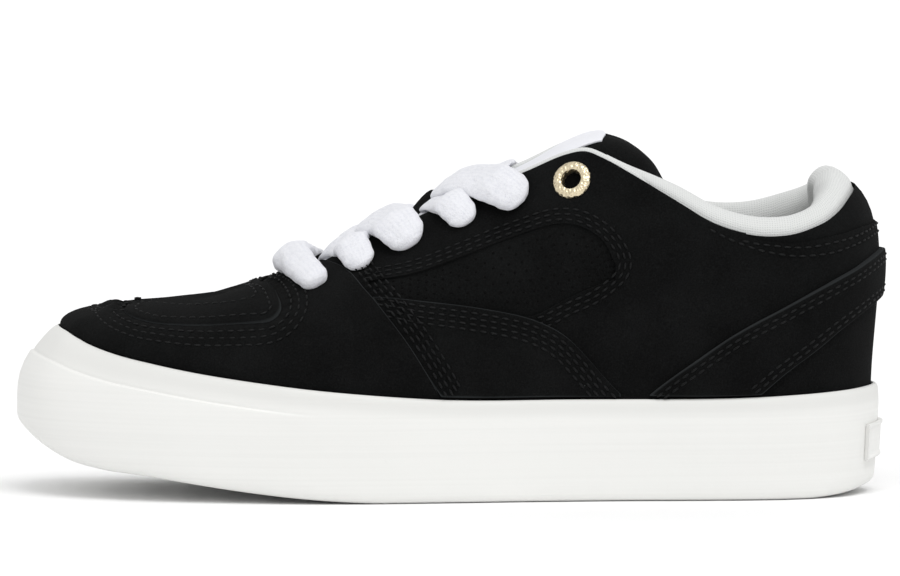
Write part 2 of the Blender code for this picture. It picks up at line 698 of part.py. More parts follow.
def band_cutter(guides):
    """Pocket for the soft band that runs round the heel under the collar."""
    high = [Edge(row.around, 1.06) for row in BAND_LOW]
    points, outside = [], []
    for sign in (1, -1):
        order = slice(None) if sign > 0 else slice(-2, None, -1)
        for offset, store in ((-COLLAR_BAND_DEPTH, points), (CUTTER_REACH, outside)):
            store.append(band_points(sign, offset)[order])
    return add_object("band_cutter",
                      slab_mesh("band_cutter", np.concatenate(points),
                                np.concatenate(outside)), guides)


def band_points(sign, offset):
    share = np.linspace(0.0, 1.0, 13)
    low_around, low_up = along_edge(BAND_LOW, share)
    low = SKIN.at(sign * low_around, low_up, offset)
    top = SKIN.at(sign * low_around, np.ones_like(low_up), offset)
    past = top + (top - low) * 0.3 + np.array([0.0, 0.0, CUTTER_REACH])
    middle = (low + top) / 2
    return np.stack([low, middle, top, past], axis=1)


def facing(place, sign):
    """Position and rotation that set a turned shape upright on the skin."""
    around, up = np.array(sign * place.around), np.array(place.up)
    normal = Vector(SKIN.normal(around, up))
    return Vector(SKIN.at(around, up)), normal.to_track_quat("Z", "Y").to_matrix().to_4x4()


def peg(name, place, sign, width, group):
    shape = bmesh.new()
    bmesh.ops.create_cone(shape, cap_ends=True, segments=10, radius1=width / 2,
                          radius2=width / 2, depth=PUNCH_LENGTH)
    mesh = bpy.data.meshes.new(name)
    shape.to_mesh(mesh)
    shape.free()
    spot, turn = facing(place, sign)
    made = add_object(name, mesh, group)
    made.matrix_world = Matrix.Translation(spot) @ turn
    return made


def make_overlays(group, finish):
    for sign, side_name in ((1, "outer"), (-1, "inner")):
        patch("side_panel_" + side_name, SIDE_PANEL_TOP, SIDE_PANEL_LOW, sign, OVERLAY_GAP,
              SIDE_PANEL_THICKNESS, PANEL_STEPS, group, finish, SIDE_PANEL_FRONT)
    around, up = patch_places(STRAP_TOP, STRAP_LOW, (14, 3))
    around = np.concatenate([around, -around[-2::-1]])
    up = np.concatenate([up, up[-2::-1]])
    mesh = slab_mesh("heel_strap", SKIN.at(around, up, OVERLAY_GAP),
                     SKIN.at(around, up, OVERLAY_GAP + STRAP_THICKNESS))
    add_object("heel_strap", mesh, group, finish)


def make_apron(group, finish):
    """Plug over the toes: a plate that spans the ridge inside its seam."""
    around, up = patch_places(APRON_SIDE, APRON_RIDGE, (12, 4))
    around = np.concatenate([around, -around[-2::-1]])
    up = np.concatenate([up, up[-2::-1]])
    mesh = net_mesh("toe_apron", SKIN.at(around, up, VAMP_STEP + OVERLAY_GAP), whole=False)
    apron = add_object("toe_apron", mesh, group, finish)
    solidify(apron, APRON_THICKNESS, True)
    return apron


# Inside: insole, collar pad, tongue

def make_insole(group, finish):
    around = round_ring()
    shape = bmesh.new()
    rings = []
    inset = UPPER_WALL + 2 * CLEARANCE
    for lift in (0.0, INSOLE_THICKNESS):
        low = SKIN.at(around, np.full_like(around, -1.0))
        high = SKIN.at(around, np.zeros_like(around))
        plan, normal = outline(around)
        rise = (lift + CLEARANCE) / (high[:, 2] - low[:, 2])
        edge = low + (high - low) * rise[:, None]
        edge[:, :2] -= normal * (inset + CLEARANCE)
        edge[:, 2] = floor_height(along_at(edge[:, 0])) + CLEARANCE + lift
        rings.append([shape.verts.new(point) for point in edge])
    join_rings(shape, rings[0], rings[1])
    for ring, lift in zip(rings, (0.0, INSOLE_THICKNESS)):
        ladder(shape, ring, lambda along, lift=lift: floor_height(along) + CLEARANCE + lift)
    return add_object("insole", finished("insole", shape), group, finish)


# Share of the pad's thickness inwards, and lift past the top line: below it a share of the
# wall's height, above it of the pad's rise
PAD_SECTION = [
    (0.00, -0.42), (0.00, -0.28), (0.00, -0.14), (0.03, -0.03), (0.12, 0.40), (0.45, 1.00),
    (0.80, 0.85), (1.05, 0.10), (1.10, -0.12), (0.90, -0.28), (0.35, -0.42),
]


def make_collar_pad(group, finish):
    share = np.linspace(-PAD_REACH, PAD_REACH, 41)
    ends = ramp(0.0, 0.10, PAD_REACH - np.abs(share))
    rings = []
    for depth, lift in PAD_SECTION:
        level = np.full_like(share, min(1.0, 1.0 + lift))
        spot = SKIN.at(share, level, -UPPER_WALL - 2 * CLEARANCE)
        inward = SKIN.normal(share, level) * (1.0, 1.0, 0.0)
        spot = spot - unit(inward) * (depth * PAD_THICKNESS * (0.35 + 0.65 * ends))[:, None]
        spot[:, 2] += max(lift, 0.0) * PAD_RISE * (0.4 + 0.6 * ends)
        rings.append(spot)
    points = np.stack(rings, axis=1)
    return add_object("collar_pad", net_mesh("collar_pad", points, closed=True, capped=True),
                      group, finish)


Tongue = namedtuple("Tongue", "around tuck crown ahead lift thick")
TONGUE_ROWS = [             # down the shoe from the hidden root to the free top
    Tongue(0.680, 0.70, 0.02, 0.000, 0.000, 0.45),
    Tongue(0.640, 0.70, 0.05, 0.000, 0.000, 0.55),
    Tongue(0.595, 0.70, 0.12, 0.000, 0.000, 0.70),
    Tongue(0.550, 0.70, 0.16, 0.000, 0.000, 0.80),
    Tongue(0.495, 0.72, 0.18, 0.000, 0.000, 0.90),
    Tongue(0.440, 0.76, 0.16, 0.000, 0.000, 1.00),
    Tongue(0.400, 0.78, 0.12, 0.000, 0.00, 1.20),
    Tongue(0.382, 0.80, 0.12, 0.300, 0.12, 1.35),
    Tongue(0.368, 0.82, 0.10, 0.700, 0.25, 1.40),
    Tongue(0.360, 0.84, 0.08, 1.300, 0.12, 1.30),
    Tongue(0.356, 0.86, 0.05, 1.900, -0.30, 1.15),
    Tongue(0.354, 0.88, 0.03, 2.300, -0.95, 0.90),
]


LABEL_ROWS = (5, 6, 7, 8)   # rows of the tongue that the label spans


def tongue_sections(steps=8, reaching=1.0):
    """Outer lines across the tongue, one for each row; its middle reaches back at the top."""
    lines = []
    across = np.linspace(-1.0, 1.0, steps + 1)
    for row in TONGUE_ROWS:
        offset = -(UPPER_WALL + 5 * CLEARANCE)
        sides = [SKIN.at(sign * row.around, np.array([row.tuck, 0.5 + row.tuck / 2, 1.0]),
                         offset) for sign in (1, -1)]
        knots = np.concatenate([sides[0], sides[1][::-1]])
        middle = (sides[0][-1] + sides[1][-1]) / 2
        middle[2] += row.crown * THROAT_WIDTH
        knots = np.concatenate([knots[:3], middle[None], knots[3:]])
        lengths = np.concatenate([[0.0], np.cumsum(np.linalg.norm(np.diff(knots, axis=0),
                                                                  axis=1))])
        places = (across + 1.0) / 2.0 * lengths[-1]
        line = np.stack([eased(lengths, knots[:, k], places) for k in range(3)], axis=1)
        free = ((1.0 - across**2) ** 1.3)[:, None] * TONGUE_RISE
        line += np.array([row.ahead, 0.0, row.lift]) * free * reaching
        lines.append(line)
    return np.stack(lines)


def net_normals(points):
    """Normals of a net that faces mostly upwards."""
    normal = unit(np.cross(np.gradient(points, axis=1), np.gradient(points, axis=0)))
    return normal * np.sign(normal[..., 2].sum())


def make_tongue(group, finish):
    outer = tongue_sections()
    columns = outer.shape[1]
    middle = (1.0 - np.linspace(-1.0, 1.0, columns) ** 2)[None, :, None]
    normal = unit(net_normals(outer) * middle
                  + net_normals(tongue_sections(reaching=0.0)) * (1.0 - middle))
    thick = np.array([row.thick for row in TONGUE_ROWS])[:, None] * TONGUE_THICKNESS
    edge = 0.35 + 0.65 * np.sqrt(1.0 - np.linspace(-1.0, 1.0, columns) ** 2 * 0.98)
    inner = outer - normal * (thick * edge[None, :])[..., None]
    ring = np.concatenate([outer, inner[:, ::-1]], axis=1)
    return add_object("tongue", net_mesh("tongue", ring, closed=True, capped=True), group,
                      finish)


# Labels, eyelets and laces

def make_tongue_label(group, finish):
    """Bare woven label near the top of the tongue, following its bow."""
    outer = tongue_sections(8)
    rows = np.array(LABEL_ROWS)
    width = LABEL_WIDTH / 2
    places = np.linspace(-1.0, 1.0, 6) * width
    centre = outer[rows, outer.shape[1] // 2, 1]
    inside = []
    for row, middle in zip(rows, centre):
        line = outer[row]
        order = np.argsort(line[:, 1])
        spots = [np.interp(places + middle, line[order, 1], line[order, k]) for k in range(3)]
        inside.append(np.stack(spots, axis=1))
    inside = np.array(inside)
    normal = net_normals(inside)
    low = inside + normal * 2 * CLEARANCE
    return add_object("tongue_label",
                      slab_mesh("tongue_label", low, low + normal * LABEL_THICKNESS), group,
                      finish)


def make_heel_label(group, finish):
    """Bare moulded plate on the back of the sidewall."""
    across = np.linspace(-HEEL_LABEL_WIDTH / 2, HEEL_LABEL_WIDTH / 2, 11)
    share, points, _ = OUTLINE
    around = -across / np.hypot(*np.diff(points[share >= 0], axis=0).T).sum()
    low = HEEL_LABEL_FOOT / SIDEWALL_HEIGHT
    levels = np.linspace(low, low + HEEL_LABEL_HEIGHT / SIDEWALL_HEIGHT, 4)
    grid_around, grid_level = np.meshgrid(around, levels, indexing="ij")
    nets = [sole_point(grid_around, grid_level, np.full_like(grid_around, inset))
            for inset in (-CLEARANCE, -CLEARANCE - HEEL_LABEL_THICKNESS)]
    return add_object("heel_label", slab_mesh("heel_label", *nets), group, finish)


def make_eyelets(group, finish):
    """Pressed metal rings in the top pair of holes."""
    for sign, side_name in ((1, "outer"), (-1, "inner")):
        bpy.ops.mesh.primitive_torus_add(
            major_segments=14, minor_segments=5,
            major_radius=(EYELET_OUTER + EYELET_HOLE) / 4,
            minor_radius=(EYELET_OUTER - EYELET_HOLE) / 4)
        ring = bpy.context.object
        flat = EYELET_HEIGHT / ((EYELET_OUTER - EYELET_HOLE) / 2)
        ring.data.transform(Matrix.Diagonal((1.0, 1.0, flat, 1.0)))
        ring.data.name = ring.name = "eyelet_" + side_name
        ring.data.materials.append(finish)
        ring.data.shade_smooth()
        for owner in list(ring.users_collection):
            owner.objects.unlink(ring)
        group.objects.link(ring)
        spot, turn = facing(EYELETS[-1], sign)
        lift = turn @ Vector((0.0, 0.0, EYELET_HEIGHT / 2 + 2 * CLEARANCE))
        ring.matrix_world = Matrix.Translation(spot + lift) @ turn


def throat_normal(around):
    """Upward normal of the throat's slope, square across the shoe."""
    slope = top_point(np.array(around - 0.02)) - top_point(np.array(around + 0.02))
    return unit(np.array([-slope[2], 0.0, slope[0]]))


def lace_route(low, high, sign):
    """Knots and face normals of a strip, from the throat's far side to the near eyelet."""
    half = LACE_THICKNESS / 2
    early, halfway, late = (low.around + (high.around - low.around) * share
                            for share in (0.05, 0.5, 0.8))
    up = throat_normal(halfway)
    over = LACE_OVER * LACE_THICKNESS + half
    middle = (top_point(np.array(halfway)) + top_point(np.array(-halfway))) / 2 + up * over
    far = top_point(np.array(-sign * early)) + up * 0.85 * over
    start = middle + (far - middle) * 0.8
    edge_normal = unit(SKIN.normal(np.array(sign * late), np.array(1.0)) + up)
    edge = top_point(np.array(sign * late)) + edge_normal * (half + 3 * CLEARANCE)
    ups = np.array([0.45 + 0.55 * high.up, high.up])
    at = np.full(2, sign * high.around)
    ends = SKIN.at(at, ups, half + 3 * CLEARANCE)
    knots = np.concatenate([[start, middle, edge], ends])
    return knots, np.concatenate([[up, up, edge_normal], SKIN.normal(at, ups)])


def lace_strip(name, knots, normals, group, finish=None):
    """Flat oval tube through the knots, its broad face square to the normals."""
    lengths = np.concatenate([[0.0], np.cumsum(np.linalg.norm(np.diff(knots, axis=0), axis=1))])
    places = np.linspace(0.0, lengths[-1], 9)
    line = np.stack([eased(lengths, knots[:, k], places) for k in range(3)], axis=1)
    face = np.stack([np.interp(places, lengths, normals[:, k]) for k in range(3)], axis=1)
    along = unit(np.gradient(line, axis=0))
    wide = unit(np.cross(along, face))
    thick = np.cross(wide, along)
    ease = np.sqrt(1.0 - (2.0 * places / lengths[-1] - 1.0) ** 4 * 0.75)[:, None]
    turns = np.radians(np.arange(6) * 60.0)
    ring = [line + wide * ease * math.cos(turn) * LACE_WIDTH / 2
            + thick * ease * math.sin(turn) * LACE_THICKNESS / 2 for turn in turns]
    return add_object(name, net_mesh(name, np.stack(ring, axis=1), closed=True, capped=True),
                      group, finish)


def make_laces(group, guides, finish):
    """Lowest bar and the crossings above it, joined into one solid."""
    first = EYELETS[0]
    ups = np.array([first.up, 0.45 + 0.55 * first.up, 1.0])
    half = LACE_THICKNESS / 2
    outer, inner = (SKIN.at(np.full(3, sign * first.around), ups, half + 3 * CLEARANCE)
                    for sign in (1, -1))
    outer_face, inner_face = (SKIN.normal(np.full(3, sign * first.around), ups)
                              for sign in (1, -1))
    up = throat_normal(first.around)
    middle = (outer[-1:] + inner[-1:]) / 2 + up * 0.25 * LACE_THICKNESS
    laces = lace_strip("laces", np.concatenate([outer, middle, inner[::-1]]),
                       np.concatenate([outer_face, [up], inner_face[::-1]]), group, finish)
    for number in range(1, len(EYELETS) - 1):
        for sign, side_name in ((1, "outer"), (-1, "inner")):
            knots, normals = lace_route(EYELETS[number - 1], EYELETS[number], sign)
            strip = lace_strip(f"lace_{number}_{side_name}", knots, normals, guides)
            join = laces.modifiers.new("Join " + strip.name, "BOOLEAN")
            join.operation = "UNION"
            join.object = strip
    return laces


# Build

def main():
    clear_scene()
    shoe = collection("skateboarding_shoe")
    guides = collection("guides")
    rubber = material("white rubber", (0.86, 0.86, 0.84), 0.55)
    suede = material("black suede", (0.012, 0.012, 0.014), 0.9)
    lining = material("white padded mesh", (0.80, 0.80, 0.80), 0.85)
    cotton = material("white cotton", (0.78, 0.79, 0.84), 0.9)
    metal = material("pale gold metal", (0.72, 0.58, 0.38), 0.3, 1.0)
    make_sole(shoe, guides, rubber)
    make_upper(shoe, guides, suede)
    make_overlays(shoe, suede)
    make_apron(shoe, suede)
    make_insole(shoe, lining)
    make_collar_pad(shoe, lining)
    make_tongue(shoe, suede)
    make_tongue_label(shoe, cotton)
    make_heel_label(shoe, rubber)
    make_eyelets(shoe, metal)
    make_laces(shoe, guides, cotton)


main()
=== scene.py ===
"""Looks of a left skateboarding shoe, low cut, standing empty on its sole.

World frame in metres: -X toe, +X heel, -Y outer side, +Y inner side, +Z up.
The origin is on the ground under the middle of the heel.
"""
from collections import namedtuple
import math

import bmesh
import bpy
from bpy.props import FloatProperty, FloatVectorProperty, IntProperty, PointerProperty
from mathutils import Matrix, Vector
import numpy as np


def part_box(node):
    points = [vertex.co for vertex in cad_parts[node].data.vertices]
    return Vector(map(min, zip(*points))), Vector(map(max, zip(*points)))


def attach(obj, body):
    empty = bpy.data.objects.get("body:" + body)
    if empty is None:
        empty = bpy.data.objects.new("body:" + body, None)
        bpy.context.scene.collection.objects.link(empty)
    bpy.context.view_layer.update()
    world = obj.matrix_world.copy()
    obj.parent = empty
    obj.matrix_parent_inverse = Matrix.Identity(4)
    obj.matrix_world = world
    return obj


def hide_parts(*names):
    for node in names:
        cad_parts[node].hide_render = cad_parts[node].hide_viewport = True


bl_info = {
    "name": "Skateboarding shoe",
    "version": (1, 0, 0),
    "blender": (4, 5, 0),
    "location": "View3D > Sidebar > Shoe",
    "description": "Dresses the solids of a skateboarding shoe in suede, rubber, cotton and mesh",
    "category": "Object",
}

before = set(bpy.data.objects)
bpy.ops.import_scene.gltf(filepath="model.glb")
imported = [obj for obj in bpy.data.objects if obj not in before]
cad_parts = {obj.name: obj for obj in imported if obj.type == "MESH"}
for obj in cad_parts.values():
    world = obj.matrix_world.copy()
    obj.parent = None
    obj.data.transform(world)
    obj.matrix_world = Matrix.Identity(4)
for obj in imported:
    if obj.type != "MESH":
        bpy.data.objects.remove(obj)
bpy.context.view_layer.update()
SOLE_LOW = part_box("sole")[0]

# Sizes that the solids share
SHOE_LENGTH = 0.298
BALL_WIDTH = 0.106
HEEL_WIDTH = 0.080
HEEL_OVERHANG = 0.038       # from the middle of the heel back to the sole's end
SIDEWALL_HEIGHT = 0.036
TOE_RIM_HEIGHT = 0.057
TOE_SPRING = 0.024
HEEL_BEVEL = 0.004
TOE_LEAN = 0.0125           # how far the top of the toe's rubber leans back
SIDE_TUCK = 0.002           # how far the foot of the sidewall tucks in
CUP_LEAN = 0.6              # share of that lean at the cup's floor, inside
RIM_WALL = 0.0019
BUMPER_STEP = 0.0007
OUTSOLE_THICKNESS = 0.015
TREAD_DEPTH = 0.002
TREAD_GROOVE = 0.003
TREAD_PITCH = 0.016
TREAD_MARGIN = 0.009        # plain border of the underside
TREAD_ENDS = (0.10, 0.93)   # the grooves lie between these shares of the length
TREAD_WAIST = (0.50, 0.64)  # none here

HEEL_HEIGHT = 0.1069
INSTEP_HEIGHT = 0.1202
TOE_HEIGHT = 0.0642
COLLAR_WIDTH = 0.075
THROAT_WIDTH = 0.030
UPPER_WALL = 0.0026
VAMP_STEP = 0.0010
WINDOW_DEPTH = 0.0010
STRAP_THICKNESS = 0.0020
PAD_THICKNESS = 0.0095
PAD_RISE = 0.0055
TONGUE_THICKNESS = 0.0085
TONGUE_RISE = 0.0100
LABEL_THICKNESS = 0.0008
HEEL_LABEL_WIDTH = 0.034
HEEL_LABEL_THICKNESS = 0.0014
PUNCH_DIAMETER = 0.0050
EYELET_HOLE = 0.0069
CLEARANCE = 0.0003
CUP_GAP = 0.0005
TINY = 1e-9                 # keeps a division off zero

# Sizes that differ a little from the solids', or that the solids don't have
INNER_SHIFT = 0.042         # around: the inner collar's dip lies this much further forward
SIDE_PANEL_THICKNESS = 0.0014
PANEL_TUCK = 0.009          # around: how far the side panel runs on under the vamp
VAMP_OVER = 0.0012          # how much the vamp's rear edge stands over the side panel
STRAP_PUFF = 0.0004         # how much the heel strap swells between its edges
COLLAR_BAND_DEPTH = 0.0008
APRON_THICKNESS = 0.0008
APRON_CROWN = 0.0006        # extra height along the ridge
LABEL_WIDTH = 0.036
HEEL_LABEL_HEIGHT = 0.0130
HEEL_LABEL_FOOT = 0.0094    # height of the plate's lower edge over the foot of the sidewall
HEEL_LABEL_SINK = 0.0005    # how deep the plate's face lies within its border
LINING_THICKNESS = 0.0005
LINING_GAP = 0.0004
EYELET_SHEET = 0.0002       # thickness of the pressed metal
NECK_WIDTH = 0.0046         # the narrow part of a lace in its hole
NECK_DEPTH = 0.0065

# View: the photograph's side view, through a long lens
CAMERA_RISE = 5.0           # degrees above level
CAMERA_DISTANCE = 9.0
VIEW_WIDTH = 0.3090         # width of the frame at the shoe
VIEW_CENTRE = (-0.1103, -0.052, 0.0747)

Plan = namedtuple("Plan", "along outer inner")
PLAN = [                    # outline of the sole, widths as shares of the width there
    Plan(0.020, 0.151, 0.255),
    Plan(0.050, 0.255, 0.340),
    Plan(0.100, 0.349, 0.406),
    Plan(0.150, 0.412, 0.439),
    Plan(0.200, 0.455, 0.458),
    Plan(0.270, 0.492, 0.474),
    Plan(0.330, 0.514, 0.480),
    Plan(0.400, 0.516, 0.455),
    Plan(0.500, 0.506, 0.405),
    Plan(0.600, 0.502, 0.387),
    Plan(0.700, 0.510, 0.414),
    Plan(0.800, 0.512, 0.460),
    Plan(0.880, 0.481, 0.456),
    Plan(0.940, 0.392, 0.380),
    Plan(0.975, 0.270, 0.265),
]
TOE_TIP = 0.057             # share of the ball width that the tip lies inwards
OUTLINE_POINTS = 900        # on each side, once the outline is smooth

Side = namedtuple("Side", "along waist toe spring bevel lean")
SOLE_SIDE = [               # rim and foot of the sidewall along the sole
    Side(0.00, 0.00, 1.00, 1.00, 0.0, 1.00),
    Side(0.03, 0.07, 0.93, 0.74, 0.0, 0.85),
    Side(0.06, 0.19, 0.81, 0.55, 0.0, 0.70),
    Side(0.10, 0.33, 0.67, 0.43, 0.0, 0.50),
    Side(0.15, 0.46, 0.54, 0.36, 0.0, 0.34),
    Side(0.20, 0.58, 0.42, 0.27, 0.0, 0.25),
    Side(0.27, 0.72, 0.28, 0.15, 0.0, 0.18),
    Side(0.33, 0.82, 0.18, 0.07, 0.0, 0.14),
    Side(0.42, 1.02, 0.01, 0.00, 0.0, 0.10),
    Side(0.50, 0.99, 0.00, 0.00, 0.0, 0.10),
    Side(0.65, 0.98, 0.00, 0.00, 0.0, 0.10),
    Side(0.84, 0.985, 0.00, 0.00, 0.0, 0.08),
    Side(0.92, 1.01, 0.00, 0.00, 0.0, 0.05),
    Side(0.97, 1.03, 0.00, 0.00, 0.45, 0.04),
    Side(1.00, 1.04, 0.00, 0.00, 1.0, 0.04),
]

Top = namedtuple("Top", "around along collar throat centre heel instep toe")
TOP_LINE = [                # collar, eyestay edge and ridge of the vamp, heel to toe
    Top(0.000, 0.973, 0.000, 0.000, 0.000, 1.000, 0.000, 0.000),
    Top(0.045, 0.967, 0.220, 0.000, 0.000, 0.976, 0.000, 0.000),
    Top(0.085, 0.950, 0.365, 0.000, -0.001, 0.926, 0.000, 0.000),
    Top(0.125, 0.927, 0.445, 0.000, -0.003, 0.889, 0.000, 0.000),
    Top(0.165, 0.890, 0.490, 0.000, -0.005, 0.860, 0.000, 0.000),
    Top(0.200, 0.850, 0.502, 0.000, -0.007, 0.863, 0.000, 0.000),
    Top(0.235, 0.807, 0.496, 0.000, -0.010, 0.750, 0.132, 0.000),
    Top(0.270, 0.765, 0.460, 0.030, -0.014, 0.450, 0.460, 0.000),
    Top(0.310, 0.720, 0.370, 0.150, -0.018, 0.150, 0.793, 0.000),
    Top(0.350, 0.678, 0.220, 0.400, -0.020, 0.000, 0.983, 0.000),
    Top(0.375, 0.657, 0.120, 0.560, -0.020, 0.000, 1.000, 0.000),
    Top(0.400, 0.634, 0.050, 0.650, -0.020, 0.000, 0.988, 0.000),
    Top(0.440, 0.590, 0.000, 0.660, -0.020, 0.000, 0.939, 0.000),
    Top(0.495, 0.520, 0.000, 0.570, -0.019, 0.000, 0.868, 0.000),
    Top(0.550, 0.455, 0.000, 0.517, -0.017, 0.000, 0.795, 0.000),
    Top(0.605, 0.390, 0.000, 0.467, -0.013, 0.000, 0.722, 0.000),
    Top(0.640, 0.350, 0.000, 0.400, -0.011, 0.000, 0.450, 0.404),
    Top(0.665, 0.330, 0.000, 0.250, -0.010, 0.000, 0.200, 0.822),
    Top(0.690, 0.322, 0.000, 0.000, -0.009, 0.000, 0.100, 0.995),
    Top(0.750, 0.285, 0.000, 0.000, -0.005, 0.000, 0.000, 1.123),
    Top(0.830, 0.235, 0.000, 0.000, 0.005, 0.000, 0.000, 1.043),
    Top(0.920, 0.185, 0.000, 0.000, 0.019, 0.000, 0.000, 1.012),
    Top(1.000, 0.140, 0.000, 0.000, 0.033, 0.000, 0.000, 1.000),
]
THROAT_END = 0.690          # around: from here to the toe both sides meet on the ridge

Wall = namedtuple("Wall", "around rise swell reach dip")
WALL_SHAPE = [              # how the wall leaves the rim and arrives at the top line
    Wall(0.000, 0.45, 2.0, 0.26, 43.0),
    Wall(0.085, 0.42, 2.0, 0.22, 60.0),
    Wall(0.165, 0.38, 3.0, 0.20, 75.0),
    Wall(0.250, 0.38, 3.0, 0.20, 75.0),
    Wall(0.330, 0.40, 3.0, 0.25, 65.0),
    Wall(0.375, 0.42, 3.0, 0.28, 55.0),
    Wall(0.440, 0.44, 3.0, 0.32, 47.0),
    Wall(0.495, 0.45, 2.0, 0.35, 42.0),
    Wall(0.605, 0.42, 3.0, 0.38, 34.0),
    Wall(0.660, 0.36, 4.0, 0.42, 15.0),
    Wall(0.700, 0.30, 4.0, 0.43, 2.0),
    Wall(0.750, 0.25, 3.0, 0.43, 0.0),
    Wall(0.870, 0.22, 2.0, 0.42, 0.0),
    Wall(1.000, 0.20, 0.0, 0.40, 0.0),
]

# Panel edges on the wall: around from heel to toe, up from rim to top line
Edge = namedtuple("Edge", "around up")
VAMP_EDGE = [Edge(0.495, 0.00), Edge(0.525, 0.18), Edge(0.552, 0.35), Edge(0.578, 0.55),
             Edge(0.600, 0.75), Edge(0.635, 1.00)]
SIDE_PANEL_TOP = [Edge(0.563, 0.50), Edge(0.521, 0.42), Edge(0.469, 0.35), Edge(0.415, 0.28),
                  Edge(0.367, 0.19), Edge(0.318, 0.02)]
SIDE_PANEL_LOW = [Edge(0.487, 0.01), Edge(0.460, 0.01), Edge(0.425, 0.01), Edge(0.390, 0.01),
                  Edge(0.355, 0.01), Edge(0.318, 0.01)]
SIDE_PANEL_FRONT = [Edge(0.563, 0.50), Edge(0.545, 0.34), Edge(0.517, 0.17),
                    Edge(0.487, 0.01)]
STRAP_TOP = [Edge(0.290, 0.015), Edge(0.250, 0.160), Edge(0.205, 0.345), Edge(0.174, 0.445),
             Edge(0.140, 0.520), Edge(0.099, 0.565), Edge(0.050, 0.572), Edge(0.000, 0.570)]
STRAP_LOW = [Edge(0.178, 0.015), Edge(0.151, 0.128), Edge(0.122, 0.215), Edge(0.095, 0.285),
             Edge(0.070, 0.322), Edge(0.045, 0.338), Edge(0.020, 0.345), Edge(0.000, 0.348)]
WINDOW_TOP = [Edge(0.580, 0.640), Edge(0.535, 0.610), Edge(0.495, 0.632),
              Edge(0.455, 0.665), Edge(0.415, 0.668), Edge(0.375, 0.637),
              Edge(0.345, 0.600), Edge(0.329, 0.515)]
WINDOW_LOW = [Edge(0.572, 0.535), Edge(0.530, 0.440), Edge(0.485, 0.370),
              Edge(0.440, 0.312), Edge(0.412, 0.287), Edge(0.381, 0.337),
              Edge(0.352, 0.400), Edge(0.329, 0.455)]
BAND_LOW = [Edge(0.205, 0.970), Edge(0.165, 0.917), Edge(0.135, 0.883), Edge(0.099, 0.840),
            Edge(0.070, 0.795), Edge(0.034, 0.743), Edge(0.000, 0.715)]
EYELETS = [Edge(0.640, 0.812), Edge(0.595, 0.850), Edge(0.551, 0.875), Edge(0.500, 0.890),
           Edge(0.454, 0.888), Edge(0.391, 0.853)]


# Smooth curves through the tables

def eased(places, values, at):
    """Cubic through the values, with slopes from their neighbours."""
    places = np.asarray(places, float)
    values = np.asarray(values, float)
    slopes = np.gradient(values, places)
    at = np.clip(at, places[0], places[-1])
    left = np.clip(np.searchsorted(places, at, side="right") - 1, 0, len(places) - 2)
    span = places[left + 1] - places[left]
    t = (at - places[left]) / span
    start, end = values[left], values[left + 1]
    start_pull, end_pull = slopes[left] * span, slopes[left + 1] * span
    return (start * (2 * t**3 - 3 * t**2 + 1) + start_pull * (t**3 - 2 * t**2 + t)
            + end * (3 * t**2 - 2 * t**3) + end_pull * (t**3 - t**2))


def column(rows, name, at, mirrored=0):
    """A table's column at a place; mirrored +1 or -1 carries it evenly or oddly past row 0."""
    places = [row[0] for row in rows]
    values = [getattr(row, name) for row in rows]
    if mirrored:
        places = [-place for place in places[2:0:-1]] + places
        values = [mirrored * value for value in values[2:0:-1]] + values
    return eased(places, values, at)


def eased_points(places, points, at):
    """The same curve through points, one coordinate at a time."""
    points = np.asarray(points, float)
    return np.stack([eased(places, points[:, k], at) for k in range(points.shape[1])], axis=1)


def ramp(start, end, at):
    """Rises smoothly from 0 at start to 1 at end; falls where end lies before start."""
    t = np.clip((at - start) / (end - start), 0.0, 1.0)
    return t * t * (3.0 - 2.0 * t)


def unit(vectors):
    return vectors / np.linalg.norm(vectors, axis=-1, keepdims=True)


def full_turn(steps):
    """Angles evenly round a circle."""
    return np.linspace(0.0, 2 * math.pi, steps + 1)[:-1]


def run_lengths(points):
    """Distances along a line of points, from 0 at its first."""
    steps = np.linalg.norm(np.diff(points, axis=0), axis=1)
    return np.concatenate([[0.0], np.cumsum(steps)])


# Plan of the sole

def x_at(along):
    """World X of a share of the length counted from the toe."""
    return HEEL_OVERHANG - (1.0 - along) * SHOE_LENGTH


def along_at(x):
    return 1.0 - (HEEL_OVERHANG - x) / SHOE_LENGTH


def width_at(along):
    return BALL_WIDTH + (HEEL_WIDTH - BALL_WIDTH) * ramp(0.35, 0.80, along)


def outline_side(side):
    """Arc shares and points from the heel's end round one side to the toe's tip."""
    rows = PLAN[::-1]
    name = "outer" if side > 0 else "inner"
    tip = TOE_TIP * BALL_WIDTH
    x = [x_at(1.0)] + [x_at(row.along) for row in rows] + [x_at(0.0)]
    y = [0.0] + [-side * getattr(row, name) * width_at(row.along) for row in rows] + [tip]
    x = x[2:0:-1] + x + x[-2:-4:-1]
    y = [-y[2], -y[1]] + y + [2 * tip - y[-2], 2 * tip - y[-3]]
    knots = np.concatenate([[0.0], np.cumsum(np.hypot(np.diff(x), np.diff(y)) ** 0.5)])
    places = np.linspace(knots[2], knots[-3], OUTLINE_POINTS)
    points = eased_points(knots, np.stack([x, y], axis=1), places)
    lengths = np.concatenate([[0.0], np.cumsum(np.hypot(*np.diff(points, axis=0).T))])
    return lengths / lengths[-1], points


def outline_table():
    """The closed outline against the signed share around: 0 heel, +1 and -1 toe's tip."""
    outer_share, outer = outline_side(1)
    inner_share, inner = outline_side(-1)
    share = np.concatenate([-inner_share[::-1], outer_share[1:]])
    points = np.concatenate([inner[::-1], outer[1:]])
    steps = np.gradient(points, axis=0)
    steps[0] = steps[-1] = (0.0, 1.0)
    normals = unit(np.stack([-steps[:, 1], steps[:, 0]], axis=1))
    return share, points, normals


OUTLINE = outline_table()


def outline(around):
    """Plan point and outward plan normal."""
    share, points, normals = OUTLINE
    point, normal = (np.stack([np.interp(around, share, rows[:, k]) for k in (0, 1)], axis=-1)
                     for rows in (points, normals))
    return point, unit(normal)


